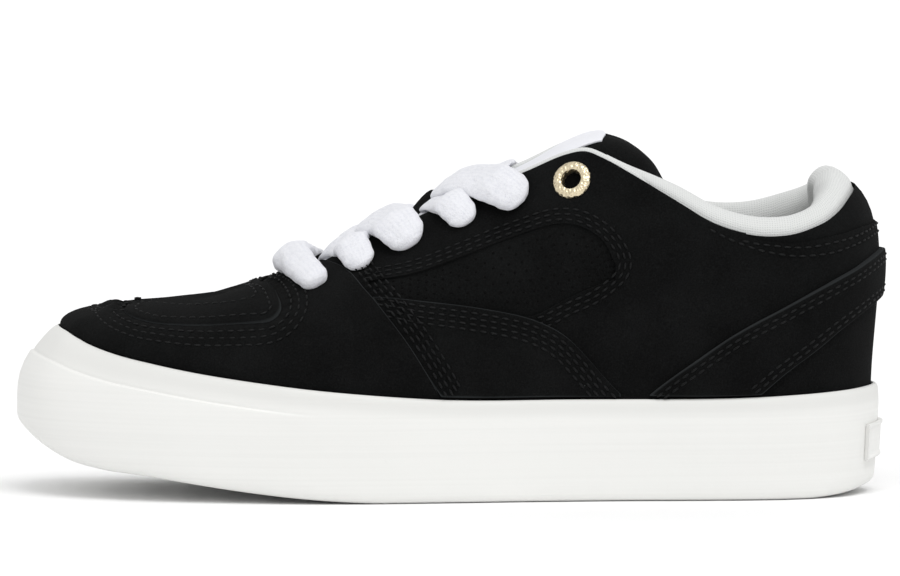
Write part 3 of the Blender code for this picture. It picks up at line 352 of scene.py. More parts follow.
def rim_height(along):
    return (column(SOLE_SIDE, "waist", along) * SIDEWALL_HEIGHT
            + column(SOLE_SIDE, "toe", along) * TOE_RIM_HEIGHT)


def foot_height(along):
    """Height of the sole's underside, flat between the toe spring and the heel's bevel."""
    return (np.maximum(column(SOLE_SIDE, "spring", along), 0.0) * TOE_SPRING
            + np.maximum(column(SOLE_SIDE, "bevel", along), 0.0) * HEEL_BEVEL)


def floor_height(along):
    """Height of the cup's floor, inside the sole."""
    return foot_height(np.clip(along, 0.0, 0.9)) + OUTSOLE_THICKNESS


def sole_point(around, share, inset):
    """Point at a share of the sidewall's height, moved in from the outline."""
    plan, normal = outline(around)
    along = along_at(plan[..., 0])
    lean = TOE_LEAN * column(SOLE_SIDE, "lean", along)
    curl = lean * np.clip((share - 0.2) / 0.8, 0.0, 1.0) ** 2.7
    tuck = SIDE_TUCK * np.clip(1.0 - share / 0.8, 0.0, 1.0) * (1.0 - lean / TOE_LEAN)
    plan = plan - normal * (inset + curl + tuck)[..., None]
    bottom = foot_height(along_at(plan[..., 0]))
    height = bottom + share * (rim_height(along) - bottom)
    return np.concatenate([plan, height[..., None]], axis=-1)


# Skin of the upper: a net of points and normals, read between its knots

def top_point(around):
    """Point of the top line; both sides are alike but for the inner collar's later dip."""
    reach = np.abs(around)
    half = (column(TOP_LINE, "collar", reach, -1) * COLLAR_WIDTH
            + column(TOP_LINE, "throat", reach, -1) * THROAT_WIDTH)
    half = np.where(reach >= THROAT_END, 0.0, half)
    y = column(TOP_LINE, "centre", reach, 1) * BALL_WIDTH - np.sign(around) * half
    shift = INNER_SHIFT * ramp(0.0, 0.07, reach) * (1.0 - ramp(0.30, 0.40, reach))
    level = reach - np.where(np.asarray(around) < 0.0, shift, 0.0)
    height = (column(TOP_LINE, "heel", level, 1) * HEEL_HEIGHT
              + column(TOP_LINE, "instep", level, 1) * INSTEP_HEIGHT
              + column(TOP_LINE, "toe", level, 1) * TOE_HEIGHT)
    return np.stack([x_at(column(TOP_LINE, "along", reach, 1)), y, height], axis=-1)


def wall_point(around, up):
    """Outer face of the upper: up is 0 at the rim, 1 at the top line, -1 on the cup's floor."""
    reach = np.abs(around)
    plan, normal = outline(around)
    along = along_at(plan[..., 0])
    lean = TOE_LEAN * column(SOLE_SIDE, "lean", along)
    inset = RIM_WALL + CUP_GAP + lean
    start_plan = plan - normal * inset[..., None]
    start = np.concatenate([start_plan, rim_height(along)[..., None]], axis=-1)
    end = top_point(around)
    span = np.linalg.norm(end - start, axis=-1)
    swell = np.radians(column(WALL_SHAPE, "swell", reach))
    rise = column(WALL_SHAPE, "rise", reach) * span
    leave = np.stack([normal[..., 0] * np.sin(swell), normal[..., 1] * np.sin(swell),
                      np.cos(swell)], axis=-1)
    toward = unit((start - end)[..., :2])
    fan = ramp(0.45, 0.62, reach)[..., None]
    flat = unit(normal * (1.0 - fan) + toward * fan)
    ahead = top_point(np.clip(reach + 0.01, 0.0, 1.0))
    behind = top_point(np.clip(reach - 0.01, 0.0, 1.0))
    slope = (ahead - behind)[..., 2] / ((ahead - behind)[..., 0] - TINY)
    ridge = ramp(0.66, THROAT_END, reach) * slope * flat[..., 0]
    dip = np.radians(column(WALL_SHAPE, "dip", reach))
    arrive = np.concatenate([flat * np.cos(dip)[..., None], (ridge - np.sin(dip))[..., None]],
                            axis=-1)
    reach_length = column(WALL_SHAPE, "reach", reach) * span
    first = start + leave * rise[..., None]
    second = end + arrive * reach_length[..., None]
    t = np.clip(up, 0.0, 1.0)[..., None]
    bow = (start * (1 - t)**3 + 3 * first * t * (1 - t)**2 + 3 * second * t * t * (1 - t)
           + end * t**3)
    drop = np.clip(-up, 0.0, 1.0)[..., None]
    foot_plan = plan - normal * (RIM_WALL + CUP_GAP + CUP_LEAN * lean)[..., None]
    low = floor_height(along_at(foot_plan[..., 0])) + CLEARANCE
    foot = np.concatenate([foot_plan, low[..., None]], axis=-1)
    return bow + (foot - start) * drop


def wrapped(around):
    return (around + 1.0) % 2.0 - 1.0


class Skin:
    """Net over the upper's outer face, for reading points at any offset from it."""

    def __init__(self, around_knots=321, up_knots=61):
        self.around = np.linspace(-1.0, 1.0, around_knots)
        self.up = np.concatenate([[-1.0, -0.5], np.linspace(0.0, 1.0, up_knots)])
        grid_around, grid_up = np.meshgrid(self.around, self.up, indexing="ij")
        self.points = wall_point(grid_around, grid_up)
        self.normals = self.knot_normals()

    def knot_normals(self):
        """Mean of the face normals round each knot, joined across the toe and the ridge."""
        points = self.points
        across = points[1:, 1:] - points[:-1, :-1]
        back = points[:-1, 1:] - points[1:, :-1]
        faces = np.cross(back, across)
        total = np.zeros_like(points)
        total[:-1, :-1] += faces
        total[1:, :-1] += faces
        total[:-1, 1:] += faces
        total[1:, 1:] += faces
        total[0] += total[-1]
        total[-1] = total[0]
        on_ridge = np.abs(self.around) >= THROAT_END
        top = total[:, -1]
        both = top + top[::-1]
        total[:, -1] = np.where(on_ridge[:, None], both, top)
        return unit(total)

    def read(self, net, around, up):
        over = up > 1.0
        around = np.where(over, -around, around)
        up = np.where(over, 2.0 - up, up)
        i = np.interp(wrapped(around), self.around, np.arange(len(self.around)))
        j = np.interp(up, self.up, np.arange(len(self.up)))
        i0 = np.clip(i.astype(int), 0, len(self.around) - 2)
        j0 = np.clip(j.astype(int), 0, len(self.up) - 2)
        fi, fj = (i - i0)[..., None], (j - j0)[..., None]
        return ((net[i0, j0] * (1 - fi) + net[i0 + 1, j0] * fi) * (1 - fj)
                + (net[i0, j0 + 1] * (1 - fi) + net[i0 + 1, j0 + 1] * fi) * fj)

    def at(self, around, up, offset=0.0):
        around = np.asarray(around, float)
        up = np.asarray(up, float)
        normal = unit(self.read(self.normals, around, up))
        offset = np.broadcast_to(offset, around.shape)[..., None]
        return self.read(self.points, around, up) + normal * offset

    def normal(self, around, up):
        return unit(self.read(self.normals, np.asarray(around, float), np.asarray(up, float)))


SKIN = Skin()


def along_edge(edge, share):
    """Around and up at a share of the way along an edge's rows."""
    rows = np.linspace(0.0, 1.0, len(edge))
    return eased(rows, [row.around for row in edge], share), \
        eased(rows, [row.up for row in edge], share)


# Lines on the skin

def beside(around, up, distance):
    """A line on the skin carried sideways over it, to the left of its run when positive."""
    longest_step = 0.0015
    reach = 0.002
    around, up = np.array(around, float), np.array(up, float)
    distance = np.broadcast_to(distance, around.shape)
    count = max(1, math.ceil(np.abs(distance).max() / longest_step))
    for _ in range(count):
        tangent = unit(np.gradient(SKIN.at(around, up), axis=0))
        side = np.cross(SKIN.normal(around, up), tangent)
        by_around = (SKIN.at(around + reach, up) - SKIN.at(around - reach, up)) / (2 * reach)
        by_up = (SKIN.at(around, up + reach) - SKIN.at(around, up - reach)) / (2 * reach)
        aa = (by_around * by_around).sum(-1)
        au = (by_around * by_up).sum(-1)
        uu = (by_up * by_up).sum(-1)
        step = distance / count
        right_a = (side * by_around).sum(-1) * step
        right_u = (side * by_up).sum(-1) * step
        scale = aa * uu - au * au
        around = around + (uu * right_a - au * right_u) / scale
        up = up + (aa * right_u - au * right_a) / scale
    return around, up


def vamp_edge_at(up):
    """Where round the shoe the vamp's rear edge runs at a height."""
    return eased([row.up for row in VAMP_EDGE], [row.around for row in VAMP_EDGE],
                 np.clip(up, 0.0, 1.0))


def vamp_lift(around):
    """How far the vamp lies over the skin; it thins out round the toe."""
    return VAMP_STEP * (1.0 - ramp(0.80, 0.94, np.abs(around)))


def vamp_over(past, up):
    """What the vamp stands higher near its rear edge, low down, where the side panel is."""
    return VAMP_OVER * (1.0 - ramp(0.0, 0.04, past)) * (1.0 - ramp(0.45, 0.62, up))


def edge_line(edge, count=80):
    """A panel's edge as a fine line of places."""
    return along_edge(edge, np.linspace(0.0, 1.0, count))


def mirrored(line):
    """A line from the outer side to the ridge or the heel, carried on over the inner side."""
    around, up = line
    return np.concatenate([around, -around[-2::-1]]), np.concatenate([up, up[-2::-1]])


def patch_places(high, low, steps, front=None):
    """Around and up over a panel between two edges; front bends its first end."""
    share = np.linspace(0.0, 1.0, steps[0] + 1)
    across = np.linspace(0.0, 1.0, steps[1] + 1)
    places = []
    for part, (top, bottom) in enumerate(zip(along_edge(high, share), along_edge(low, share))):
        place = top[:, None] + (bottom - top)[:, None] * across
        if front:
            bent = along_edge(front, across)[part]
            straight = bent[0] + (bent[-1] - bent[0]) * across
            place = place + (1.0 - share)[:, None] * (bent - straight)
        places.append(place)
    return places


# Meshes

def net(name, points, closed=False, capped=False):
    """Mesh over a grid of points with a UV map in metres; closed joins the last column on."""
    rows, columns = points.shape[:2]
    index = np.arange(rows * columns).reshape(rows, columns)
    left, right = (index, np.roll(index, -1, axis=1)) if closed else (index[:, :-1], index[:, 1:])
    faces = np.stack([left[:-1], right[:-1], right[1:], left[1:]], axis=-1).reshape(-1, 4)
    polygons = faces.tolist()
    if capped:
        polygons += [index[0][::-1].tolist(), index[-1].tolist()]
    mesh = bpy.data.meshes.new(name)
    mesh.from_pydata(points.reshape(-1, 3).tolist(), [], polygons)
    down = np.linalg.norm(np.diff(points, axis=0), axis=-1).mean(axis=1)
    ring = np.concatenate([points, points[:, :1]], axis=1) if closed else points
    over = np.linalg.norm(np.diff(ring, axis=1), axis=-1).mean(axis=0)
    u = np.concatenate([[0.0], np.cumsum(down)])
    v = np.concatenate([[0.0], np.cumsum(over)])
    i, j = np.meshgrid(np.arange(rows - 1), np.arange(left.shape[1]), indexing="ij")
    corners = [(i, j), (i, j + 1), (i + 1, j + 1), (i + 1, j)]
    spots = np.stack([np.stack([u[a], v[b]], axis=-1) for a, b in corners], axis=2)
    layer = mesh.uv_layers.new(name="Surface")
    values = np.zeros((len(mesh.loops), 2))
    values[:spots.size // 2] = spots.reshape(-1, 2)
    layer.data.foreach_set("uv", values.ravel())
    return mesh


def cleaned(mesh, solid=True, welded=1e-6):
    """Merges doubled points and turns the faces outwards."""
    shape = bmesh.new()
    shape.from_mesh(mesh)
    bmesh.ops.remove_doubles(shape, verts=shape.verts, dist=welded)
    bmesh.ops.dissolve_degenerate(shape, edges=shape.edges, dist=welded)
    if solid:
        bmesh.ops.recalc_face_normals(shape, faces=shape.faces)
        turned = shape.calc_volume(signed=True) < 0
    else:
        middle = sum((face.calc_center_median() for face in shape.faces), Vector())
        middle /= len(shape.faces)
        turned = sum(face.normal.dot(face.calc_center_median() - middle) * face.calc_area()
                     for face in shape.faces) < 0
    if turned:
        bmesh.ops.reverse_faces(shape, faces=shape.faces)
    shape.to_mesh(mesh)
    shape.free()
    return mesh


def mesh_of(name, shape):
    """Writes a working shape to a new mesh and frees it."""
    mesh = bpy.data.meshes.new(name)
    shape.to_mesh(mesh)
    shape.free()
    return mesh


def add_pin(shape, width, depth, matrix, segments=28):
    """Adds a closed round pin to a working shape."""
    bmesh.ops.create_cone(shape, cap_ends=True, segments=segments, radius1=width / 2,
                          radius2=width / 2, depth=depth, matrix=matrix)


def linked(name, data):
    """A new object in the scene."""
    made = bpy.data.objects.new(name, data)
    bpy.context.scene.collection.objects.link(made)
    return made


def shaded(mesh, sharp=40.0):
    """Smooth faces, with a hard edge wherever two of them meet at a wider angle."""
    mesh.shade_smooth()
    mesh.set_sharp_from_angle(angle=math.radians(sharp))


def piece(name, mesh, material, sharp=40.0):
    """An object with one material."""
    made = linked(name, mesh)
    mesh.name = name
    mesh.materials.clear()
    mesh.materials.append(material)
    shaded(mesh, sharp)
    return made


def baked(item):
    """Turns an object's modifiers into a plain mesh."""
    bpy.context.view_layer.update()
    graph = bpy.context.evaluated_depsgraph_get()
    mesh = bpy.data.meshes.new_from_object(item.evaluated_get(graph))
    item.modifiers.clear()
    item.data = mesh
    mesh.name = item.name
    return item


def thickened(item, thickness, outwards):
    """Adds the modifier that gives a sheet its thickness on one side."""
    shell = item.modifiers.new("Thickness", "SOLIDIFY")
    shell.thickness = thickness
    shell.offset = 1.0 if outwards else -1.0
    return item


def softened(item, width, segments=2):
    """Adds the modifier that rounds a piece's sharp edges."""
    edge = item.modifiers.new("Edge", "BEVEL")
    edge.width = width
    edge.segments = segments
    edge.limit_method = "ANGLE"
    edge.angle_limit = math.radians(40.0)
    return item


def settle(item, slot, *nodes, fill=None):
    """Puts a finished piece on the shoe, in place of the solids that it stands for."""
    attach(item, "root")
    if nodes:
        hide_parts(*nodes)
    return item


def slab(name, inside, outside):
    """Closed slab between two grids of points."""
    rows, columns = inside.shape[:2]
    count = rows * columns
    index = np.arange(count).reshape(rows, columns)
    over = np.stack([index[:-1, :-1], index[:-1, 1:], index[1:, 1:], index[1:, :-1]], axis=-1)
    over = over.reshape(-1, 4)
    rim = np.concatenate([index[0, :-1], index[:-1, -1], index[-1, :0:-1], index[:0:-1, 0]])
    after = np.roll(rim, -1)
    sides = np.stack([rim, rim + count, after + count, after], axis=-1)
    faces = over.tolist() + (over[:, ::-1] + count).tolist() + sides.tolist()
    mesh = bpy.data.meshes.new(name)
    points = np.concatenate([outside.reshape(-1, 3), inside.reshape(-1, 3)])
    mesh.from_pydata(points.tolist(), [], faces)
    # the border points are marked for painted edge light: a highlight on suede, shade on rubber
    border = np.zeros((rows, columns))
    border[[0, -1], :] = border[:, [0, -1]] = 1.0
    mark_painted_edge(mesh, np.tile(border.ravel(), 2))
    return cleaned(mesh)


def mark_painted_edge(mesh, shares):
    """Marks cut edges and the sole's top band for painted light in the finish: a painted highlight
    on suede, painted shade on rubber.
    """
    mesh.attributes.new("Rim", "FLOAT", "POINT")
    mesh.attributes["Rim"].data.foreach_set("value", shares)


# Shader maths

class Value:
    """A shader socket that takes part in Python sums; a sum adds its Math nodes."""

    def __init__(self, finish, socket):
        self.finish = finish
        self.socket = socket

    def sum(self, operation, *others):
        return self.finish.node("ShaderNodeMath", {"operation": operation}, self, *others)

    def __add__(self, other):
        return self.sum("ADD", other)

    def __sub__(self, other):
        return self.sum("SUBTRACT", other)

    def __mul__(self, other):
        return self.sum("MULTIPLY", other)

    def __rsub__(self, other):
        return self.finish.node("ShaderNodeMath", {"operation": "SUBTRACT"}, other, self)

    __radd__ = __add__
    __rmul__ = __mul__

    def above(self, level):
        return self.sum("GREATER_THAN", level)

    def wave(self):
        return self.sum("SINE")

    def size(self):
        return self.sum("ABSOLUTE")

    def between(self, low, high):
        """0 at low, 1 at high, smooth and held outside."""
        return self.finish.node("ShaderNodeMapRange", {"interpolation_type": "SMOOTHSTEP"},
                                self, low, high)


class Finish:
    """A material with one Principled shader, built node by node."""

    def __init__(self, name, colour, roughness, constants=None):
        self.material = bpy.data.materials.new(name)
        self.material.use_nodes = True
        self.tree = self.material.node_tree
        self.shader = self.tree.nodes["Principled BSDF"]
        self.material.diffuse_color = (*colour, 1.0)
        self.plain("Base Color", (*colour, 1.0))
        self.plain("Roughness", roughness)
        for key, value in (constants or {}).items():
            self.plain(key, value)

    def plain(self, socket, value):
        self.shader.inputs[socket].default_value = value

    def node(self, kind, settings=None, *values, out=0, **named):
        made = self.tree.nodes.new(kind)
        for key, value in (settings or {}).items():
            setattr(made, key, value)
        given = list(enumerate(values)) + list(named.items())
        for key, value in given:
            socket = made.inputs[key if isinstance(key, int) else key.replace("_", " ")]
            if isinstance(value, Value):
                self.tree.links.new(value.socket, socket)
            elif value is not None:
                socket.default_value = value
        return Value(self, made.outputs[out])

    def place(self):
        return self.node("ShaderNodeTexCoord", out="Object")

    def rim(self):
        """The painted edge mark on the mesh: a painted highlight on suede edges, painted shade on
        the sole's top band.
        """
        return self.node("ShaderNodeAttribute", {"attribute_name": "Rim"}, out="Fac")

    def surface(self):
        """The two distances of the piece's own UV map, in metres."""
        spot = self.node("ShaderNodeUVMap", {"uv_map": "Surface"})
        parts = self.node("ShaderNodeSeparateXYZ", None, spot)
        return parts, Value(self, parts.socket.node.outputs[1])

    def stretched(self, spot, scale):
        return self.node("ShaderNodeMapping", None, spot, Scale=scale)

    def noise(self, spot, scale, detail=2.0, rough=0.5):
        return self.node("ShaderNodeTexNoise", None, Vector=spot, Scale=scale, Detail=detail,
                         Roughness=rough)

    def cells(self, spot, scale, out="Distance"):
        return self.node("ShaderNodeTexVoronoi", None, Vector=spot, Scale=scale, out=out)

    def mixed(self, share, one, other):
        """Colour between two colours."""
        made = self.tree.nodes.new("ShaderNodeMix")
        made.data_type = "RGBA"
        for key, value in ((0, share), (6, one), (7, other)):
            if isinstance(value, Value):
                self.tree.links.new(value.socket, made.inputs[key])
            else:
                made.inputs[key].default_value = value if key == 0 else (*value, 1.0)
        return Value(self, made.outputs[2])

    def feed(self, socket, value):
        self.tree.links.new(value.socket, self.shader.inputs[socket])

    def relief(self, *layers):
        """Stacks Bump nodes; a layer is a height, its distance in metres and its strength."""
        below = None
        for height, distance, strength in layers:
            below = self.node("ShaderNodeBump", None, Height=height, Distance=distance,
                              Strength=strength, Normal=below)
        self.feed("Normal", below)


# Finishes

LINT_COLOUR = (0.30, 0.32, 0.33)
PAINTED_RUBBER_TOP_SHADE = (0.70, 0.70, 0.68)      # painted shade along the sidewall's top band, under the upper
# painted shade: colour of the discs that stand for vent holes and for the dark inside the eyelets
PAINTED_HOLE_SHADE = (0.002, 0.002, 0.002)


def suede_finish(name, colour, tint, edge):
    """Napped suede: soft blotches where the nap lies over, short fibres, a little lint, and a
    painted highlight along marked edges.
    """
    finish = Finish(name, colour, 0.95, {"Sheen Weight": 0.014, "Sheen Roughness": 0.6,
                                         "Specular IOR Level": 0.012})
    spot = finish.place()
    lie = finish.noise(spot, 55.0, 3.0)
    fibres = finish.noise(spot, 1900.0, 3.0, 0.7)
    pebbles = finish.noise(spot, 420.0, 2.0)
    shade = (lie - 0.5) * 0.7 + (fibres - 0.5) * 1.6 + 0.42
    cloth = finish.mixed(shade.between(0.0, 1.0), colour, tint)
    dots = finish.cells(spot, 95.0)
    rare = finish.cells(spot, 95.0, out="Color")
    pick = finish.node("ShaderNodeSeparateColor", None, rare)
    lint = dots.between(0.026, 0.014) * pick.above(0.90)
    # painted highlight: the lighter edge colour along marked panel edges
    cloth = finish.mixed((finish.rim() * (0.5 + lie)).between(0.25, 1.0), cloth, edge)
    finish.feed("Base Color", finish.mixed(lint * 0.55, cloth, LINT_COLOUR))
    finish.feed("Roughness", 0.86 + lie * 0.16)
    finish.relief((pebbles, 0.0004, 0.35), (fibres, 0.00025, 0.6))
    return finish.material


def rubber_finish(name, colour, shade):
    """Moulded white rubber: faint drawn lines along the sidewall and a fine skin, with painted
    shade along the marked top band.
    """
    finish = Finish(name, colour, 0.5, {"Specular IOR Level": 0.35})
    spot = finish.place()
    drawn = finish.noise(finish.stretched(spot, (6.0, 6.0, 900.0)), 1.0, 2.0)
    skin = finish.noise(spot, 900.0, 2.0)
    cloud = finish.noise(spot, 14.0, 2.0)
    dust = finish.noise(spot, 260.0, 4.0, 0.7)
    mark = (cloud * 0.5 + drawn * 0.5).between(0.35, 0.75) * 0.5 + dust.between(0.68, 0.8) * 0.35
    body = finish.mixed(mark, colour, shade)
    # painted shade along the marked top band of the sidewall
    finish.feed("Base Color", finish.mixed(finish.rim() * 0.9, body, PAINTED_RUBBER_TOP_SHADE))
    finish.feed("Roughness", 0.42 + drawn * 0.16)
    finish.relief((drawn, 0.00012, 0.25), (skin, 0.00006, 0.3))
    return finish.material


def lace_finish(name, colour, shade):
    """Soft tubular knit: faint ribs along the lace under a fuzzy face, with painted shade in its
    hollows.
    """
    finish = Finish(name, colour, 0.95, {"Sheen Weight": 0.2, "Sheen Roughness": 0.5,
                                         "Specular IOR Level": 0.08})
    run, turn = finish.surface()
    spot = finish.place()
    fuzz = finish.noise(spot, 1700.0, 5.0, 0.75)
    lumps = finish.noise(spot, 330.0, 3.0, 0.6)
    rib_pitch, knit_pitch = 0.0019, 0.0013
    bent = turn + (lumps - 0.5) * 0.0016
    ribs = (bent * (2 * math.pi / rib_pitch)).wave() * 0.5 + 0.5
    knit = ((run + (lumps - 0.5) * 0.0012) * (2 * math.pi / knit_pitch)).wave() * 0.5 + 0.5
    # painted shade: darker colour where ribs, knit, lumps and fuzz lie low
    painted_hollow_shade = (ribs * 0.07 + knit * 0.03 + lumps * 0.30 + fuzz * 0.60).between(0.60, 0.28)
    finish.feed("Base Color", finish.mixed(painted_hollow_shade, colour, shade))
    finish.relief((lumps, 0.0016, 0.5), (ribs * 0.8 + knit * 0.2, 0.0003, 0.10),
                  (fuzz, 0.0005, 0.6))
    return finish.material


def mesh_finish(name, colour, shade, pitch=0.00085):
    """Spacer mesh: rows of small soft holes, a little out of line, darkened as painted shade."""
    finish = Finish(name, colour, 0.9, {"Sheen Weight": 0.2, "Specular IOR Level": 0.15})
    run, over = finish.surface()
    turn = math.pi / pitch
    spot = finish.place()
    stray = (finish.noise(spot, 240.0, 2.0) - 0.5) * 0.0011
    knit = (((run + stray) * turn).wave() * ((over + stray) * turn).wave()).size()
    fuzz = finish.noise(spot, 2200.0, 2.0)
    hole = knit.between(0.35, 0.85)
    # painted shade in the holes of the mesh
    finish.feed("Base Color", finish.mixed(hole * 0.45, colour, shade))
    finish.relief((1.0 - hole, 0.0003, 0.45), (fuzz, 0.0001, 0.4))
    return finish.material


def woven_finish(name, colour, shade, pitch=0.0007):
    """Close plain weave, with painted shade where the threads and fuzz dip."""
    finish = Finish(name, colour, 0.75, {"Sheen Weight": 0.15, "Specular IOR Level": 0.2})
    run, over = finish.surface()
    turn = math.pi / pitch
    weave = (run * turn).wave() * (over * turn).wave() * 0.5 + 0.5
    fuzz = finish.noise(finish.place(), 1800.0, 2.0)
    # painted shade in the dips of the weave
    finish.feed("Base Color", finish.mixed((weave * 0.6 + fuzz * 0.5).between(0.8, 0.3) * 0.6,
                                           colour, shade))
    finish.relief((weave, 0.00015, 0.5), (fuzz, 0.0001, 0.3))
    return finish.material


def thread_finish(name, colour, light):
    """Twisted thread."""
    finish = Finish(name, colour, 0.6, {"Specular IOR Level": 0.12})
    twist = finish.noise(finish.place(), 2600.0, 2.0)
    finish.feed("Base Color", finish.mixed(twist.between(0.35, 0.7), colour, light))
    finish.relief((twist, 0.0001, 0.5))
    return finish.material


def metal_finish(name, colour, dark):
    """Pressed metal with a stippled face, darker in the pits."""
    finish = Finish(name, colour, 0.32, {"Metallic": 1.0})
    spot = finish.place()
    pits = finish.cells(spot, 950.0)
    grime = finish.noise(spot, 500.0, 3.0)
    low = pits.between(0.42, 0.12)
    finish.feed("Base Color", finish.mixed(low * 0.45 + grime * 0.2, colour, dark))
    finish.feed("Roughness", 0.26 + low * 0.2 + grime * 0.1)
    finish.relief((pits, 0.0004, 0.9))
    return finish.material


def plain_finish(name, colour, roughness):
    """One colour with a little tooth."""
    finish = Finish(name, colour, roughness, {"Specular IOR Level": 0.1})
    tooth = finish.noise(finish.place(), 800.0, 2.0)
    finish.relief((tooth, 0.0002, 0.3))
    return finish.material


FINISHES = {}


def finish(key):
    """Builds a finish when it is first asked for."""
    colours = bpy.context.scene.shoe_colours
    makers = {
        "suede": lambda: suede_finish("black suede", colours.suede, colours.suede_nap,
                                      colours.suede_edge_highlight),
        "tongue": lambda: suede_finish("black tongue cloth", colours.suede, colours.suede_nap,
                                       colours.suede_nap),
        "rubber": lambda: rubber_finish("white rubber", colours.rubber, colours.rubber_shade),
        "cotton": lambda: lace_finish("white cotton", colours.cotton, colours.cotton_shade),
        "lining": lambda: mesh_finish("white spacer mesh", colours.lining,
                                      colours.lining_shade),
        "label": lambda: woven_finish("white woven label", colours.cotton,
                                      colours.cotton_shade),
        "insole": lambda: woven_finish("insole cloth", colours.lining, colours.lining_shade),
        "thread": lambda: thread_finish("black thread", colours.thread, colours.thread_light),
        "metal": lambda: metal_finish("pale gold metal", colours.metal, colours.metal_dark),
        "hole": lambda: plain_finish("dark hole", PAINTED_HOLE_SHADE, 1.0),
    }
    if key not in FINISHES:
        FINISHES[key] = makers[key]()
    return FINISHES[key]


# Settings that a user would change

def length_setting(label, words, value):
    return FloatProperty(name=label, description=words, default=value, min=0.0,
                         subtype="DISTANCE", unit="LENGTH", precision=5)


def colour_setting(label, words, value):
    return FloatVectorProperty(name=label, description=words, subtype="COLOR", size=3, min=0.0,
                               max=1.0, default=value)


class ShoeColours(bpy.types.PropertyGroup):
    """Colours of the shoe's finishes."""

    suede: colour_setting("Suede", "Body of the suede", (0.0030, 0.0031, 0.0031))
    suede_nap: colour_setting("Suede nap", "Suede where the nap catches light",
                              (0.0092, 0.0096, 0.0097))
    # painted highlight along the marked edges of the suede pieces
    suede_edge_highlight: colour_setting("Suede edge", "Cut edges of the suede",
                               (0.0225, 0.0245, 0.0255))
    rubber: colour_setting("Rubber", "Sole", (0.80, 0.80, 0.78))
    rubber_shade: colour_setting("Rubber shade", "Sole's faint marks", (0.74, 0.74, 0.72))
    cotton: colour_setting("Cotton", "Laces and label", (0.79, 0.795, 0.83))
    # painted shade for the hollows of the laces and of the label's weave
    cotton_shade: colour_setting("Cotton shade", "Hollows of the weave", (0.68, 0.69, 0.74))
    lining: colour_setting("Lining", "Mesh lining", (0.66, 0.67, 0.66))
    # painted shade for the holes of the mesh lining and the dips of the insole's weave
    lining_shade: colour_setting("Lining shade", "Holes of the mesh", (0.52, 0.53, 0.53))
    thread: colour_setting("Thread", "Stitches", (0.0052, 0.0054, 0.0055))
    thread_light: colour_setting("Thread light", "Twist of the stitches",
                                 (0.0125, 0.0130, 0.0133))
    metal: colour_setting("Metal", "Eyelets", (0.80, 0.70, 0.50))
    metal_dark: colour_setting("Metal dark", "Pits of the eyelets", (0.46, 0.37, 0.22))


class ShoeSizes(bpy.types.PropertyGroup):
    """Sizes of what the solids leave out."""

    stitch_pitch: length_setting("Stitch pitch", "From one stitch to the next", 0.0036)
    stitch_length: length_setting("Stitch length", "What shows of a stitch", 0.0027)
    thread_width: length_setting("Thread", "Thickness of the thread", 0.00075)
    row_gap: length_setting("Row gap", "Between neighbouring rows of stitches", 0.0019)
    vent_width: length_setting("Vent", "Diameter of a vent hole", 0.0009)
    vent_columns: IntProperty(name="Vent columns", description="Holes along the window",
                              default=19, min=1)


# Sole

SIDEWALL = [                # share of the height, inset, share of the step over the bumper
    (0.0, 0.0030, 0), (0.004, 0.0021, 0), (0.012, 0.0013, 0), (0.025, 0.0007, 0),
    (0.045, 0.0003, 0), (0.08, 0.0, 0), (0.16, 0.0, 0), (0.28, 0.0, 0), (0.40, 0.0, 0),
    (0.52, 0.0, 0), (0.64, 0.0, 0), (0.72, 0.0, 0), (0.748, 0.0, 0), (0.758, 0.00008, 0),
    (0.764, 0.00028, 0.3), (0.770, 0.00042, 0.8), (0.777, 0.00028, 1), (0.788, 0.00006, 1),
    (0.80, 0.0, 1), (0.84, 0.0, 1), (0.88, 0.0, 1), (0.92, 0.0, 1), (0.955, 0.00005, 1),
    (0.975, 0.0002, 1), (0.99, 0.0005, 1), (1.0, 0.0009, 1),
]


def cup_wall(around, low):
    """Inner face of the sole's cup: at the rim, or down on its floor."""
    plan, normal = outline(around)
    along = along_at(plan[..., 0])
    lean = TOE_LEAN * column(SOLE_SIDE, "lean", along)
    inset = RIM_WALL + (CUP_LEAN * lean if low else lean)
    plan = plan - normal * inset[..., None]
    height = floor_height(along_at(plan[..., 0])) if low else rim_height(along)
    return np.concatenate([plan, height[..., None]], axis=-1)


def sheet_within(ring, height, count=14):
    """Rows of points that fill a ring of the foot's outline at a given height."""
    half = len(ring) // 2
    outer = ring[:half + 1]
    inner = np.concatenate([ring[:1], ring[:half - 1:-1]])
    share = np.linspace(0.0, 1.0, count + 1)[None, :, None]
    grid = outer[:, None] * (1.0 - share) + inner[:, None] * share
    filled = grid.copy()
    filled[:, 1:-1, 2] = height(along_at(grid[:, 1:-1, 0]))
    return filled


def merged(name, meshes):
    """One mesh from several, with their UV maps."""
    shape = bmesh.new()
    for mesh in meshes:
        shape.from_mesh(mesh)
    return mesh_of(name, shape)


def tread_cutter():
    """Grooves across the underside, as in the solid."""
    shape = bmesh.new()
    share, points, _ = OUTLINE
    outer = points[share >= 0]
    inner = points[share <= 0][::-1]
    first = math.ceil(x_at(TREAD_ENDS[0]) / TREAD_PITCH)
    last = math.floor(x_at(TREAD_ENDS[1]) / TREAD_PITCH)
    for number in range(first, last):
        x = (number + 0.5) * TREAD_PITCH
        if TREAD_WAIST[0] < along_at(x) < TREAD_WAIST[1]:
            continue
        low = np.interp(-x, -outer[:, 0], outer[:, 1]) + TREAD_MARGIN
        high = np.interp(-x, -inner[:, 0], inner[:, 1]) - TREAD_MARGIN
        size = Matrix.Diagonal((TREAD_GROOVE, high - low, 2 * TREAD_DEPTH, 1.0))
        spot = Vector((x, (low + high) / 2, float(foot_height(np.array(along_at(x))))))
        bmesh.ops.create_cube(shape, size=1.0, matrix=Matrix.Translation(spot) @ size)
    return mesh_of("tread_cutter", shape)


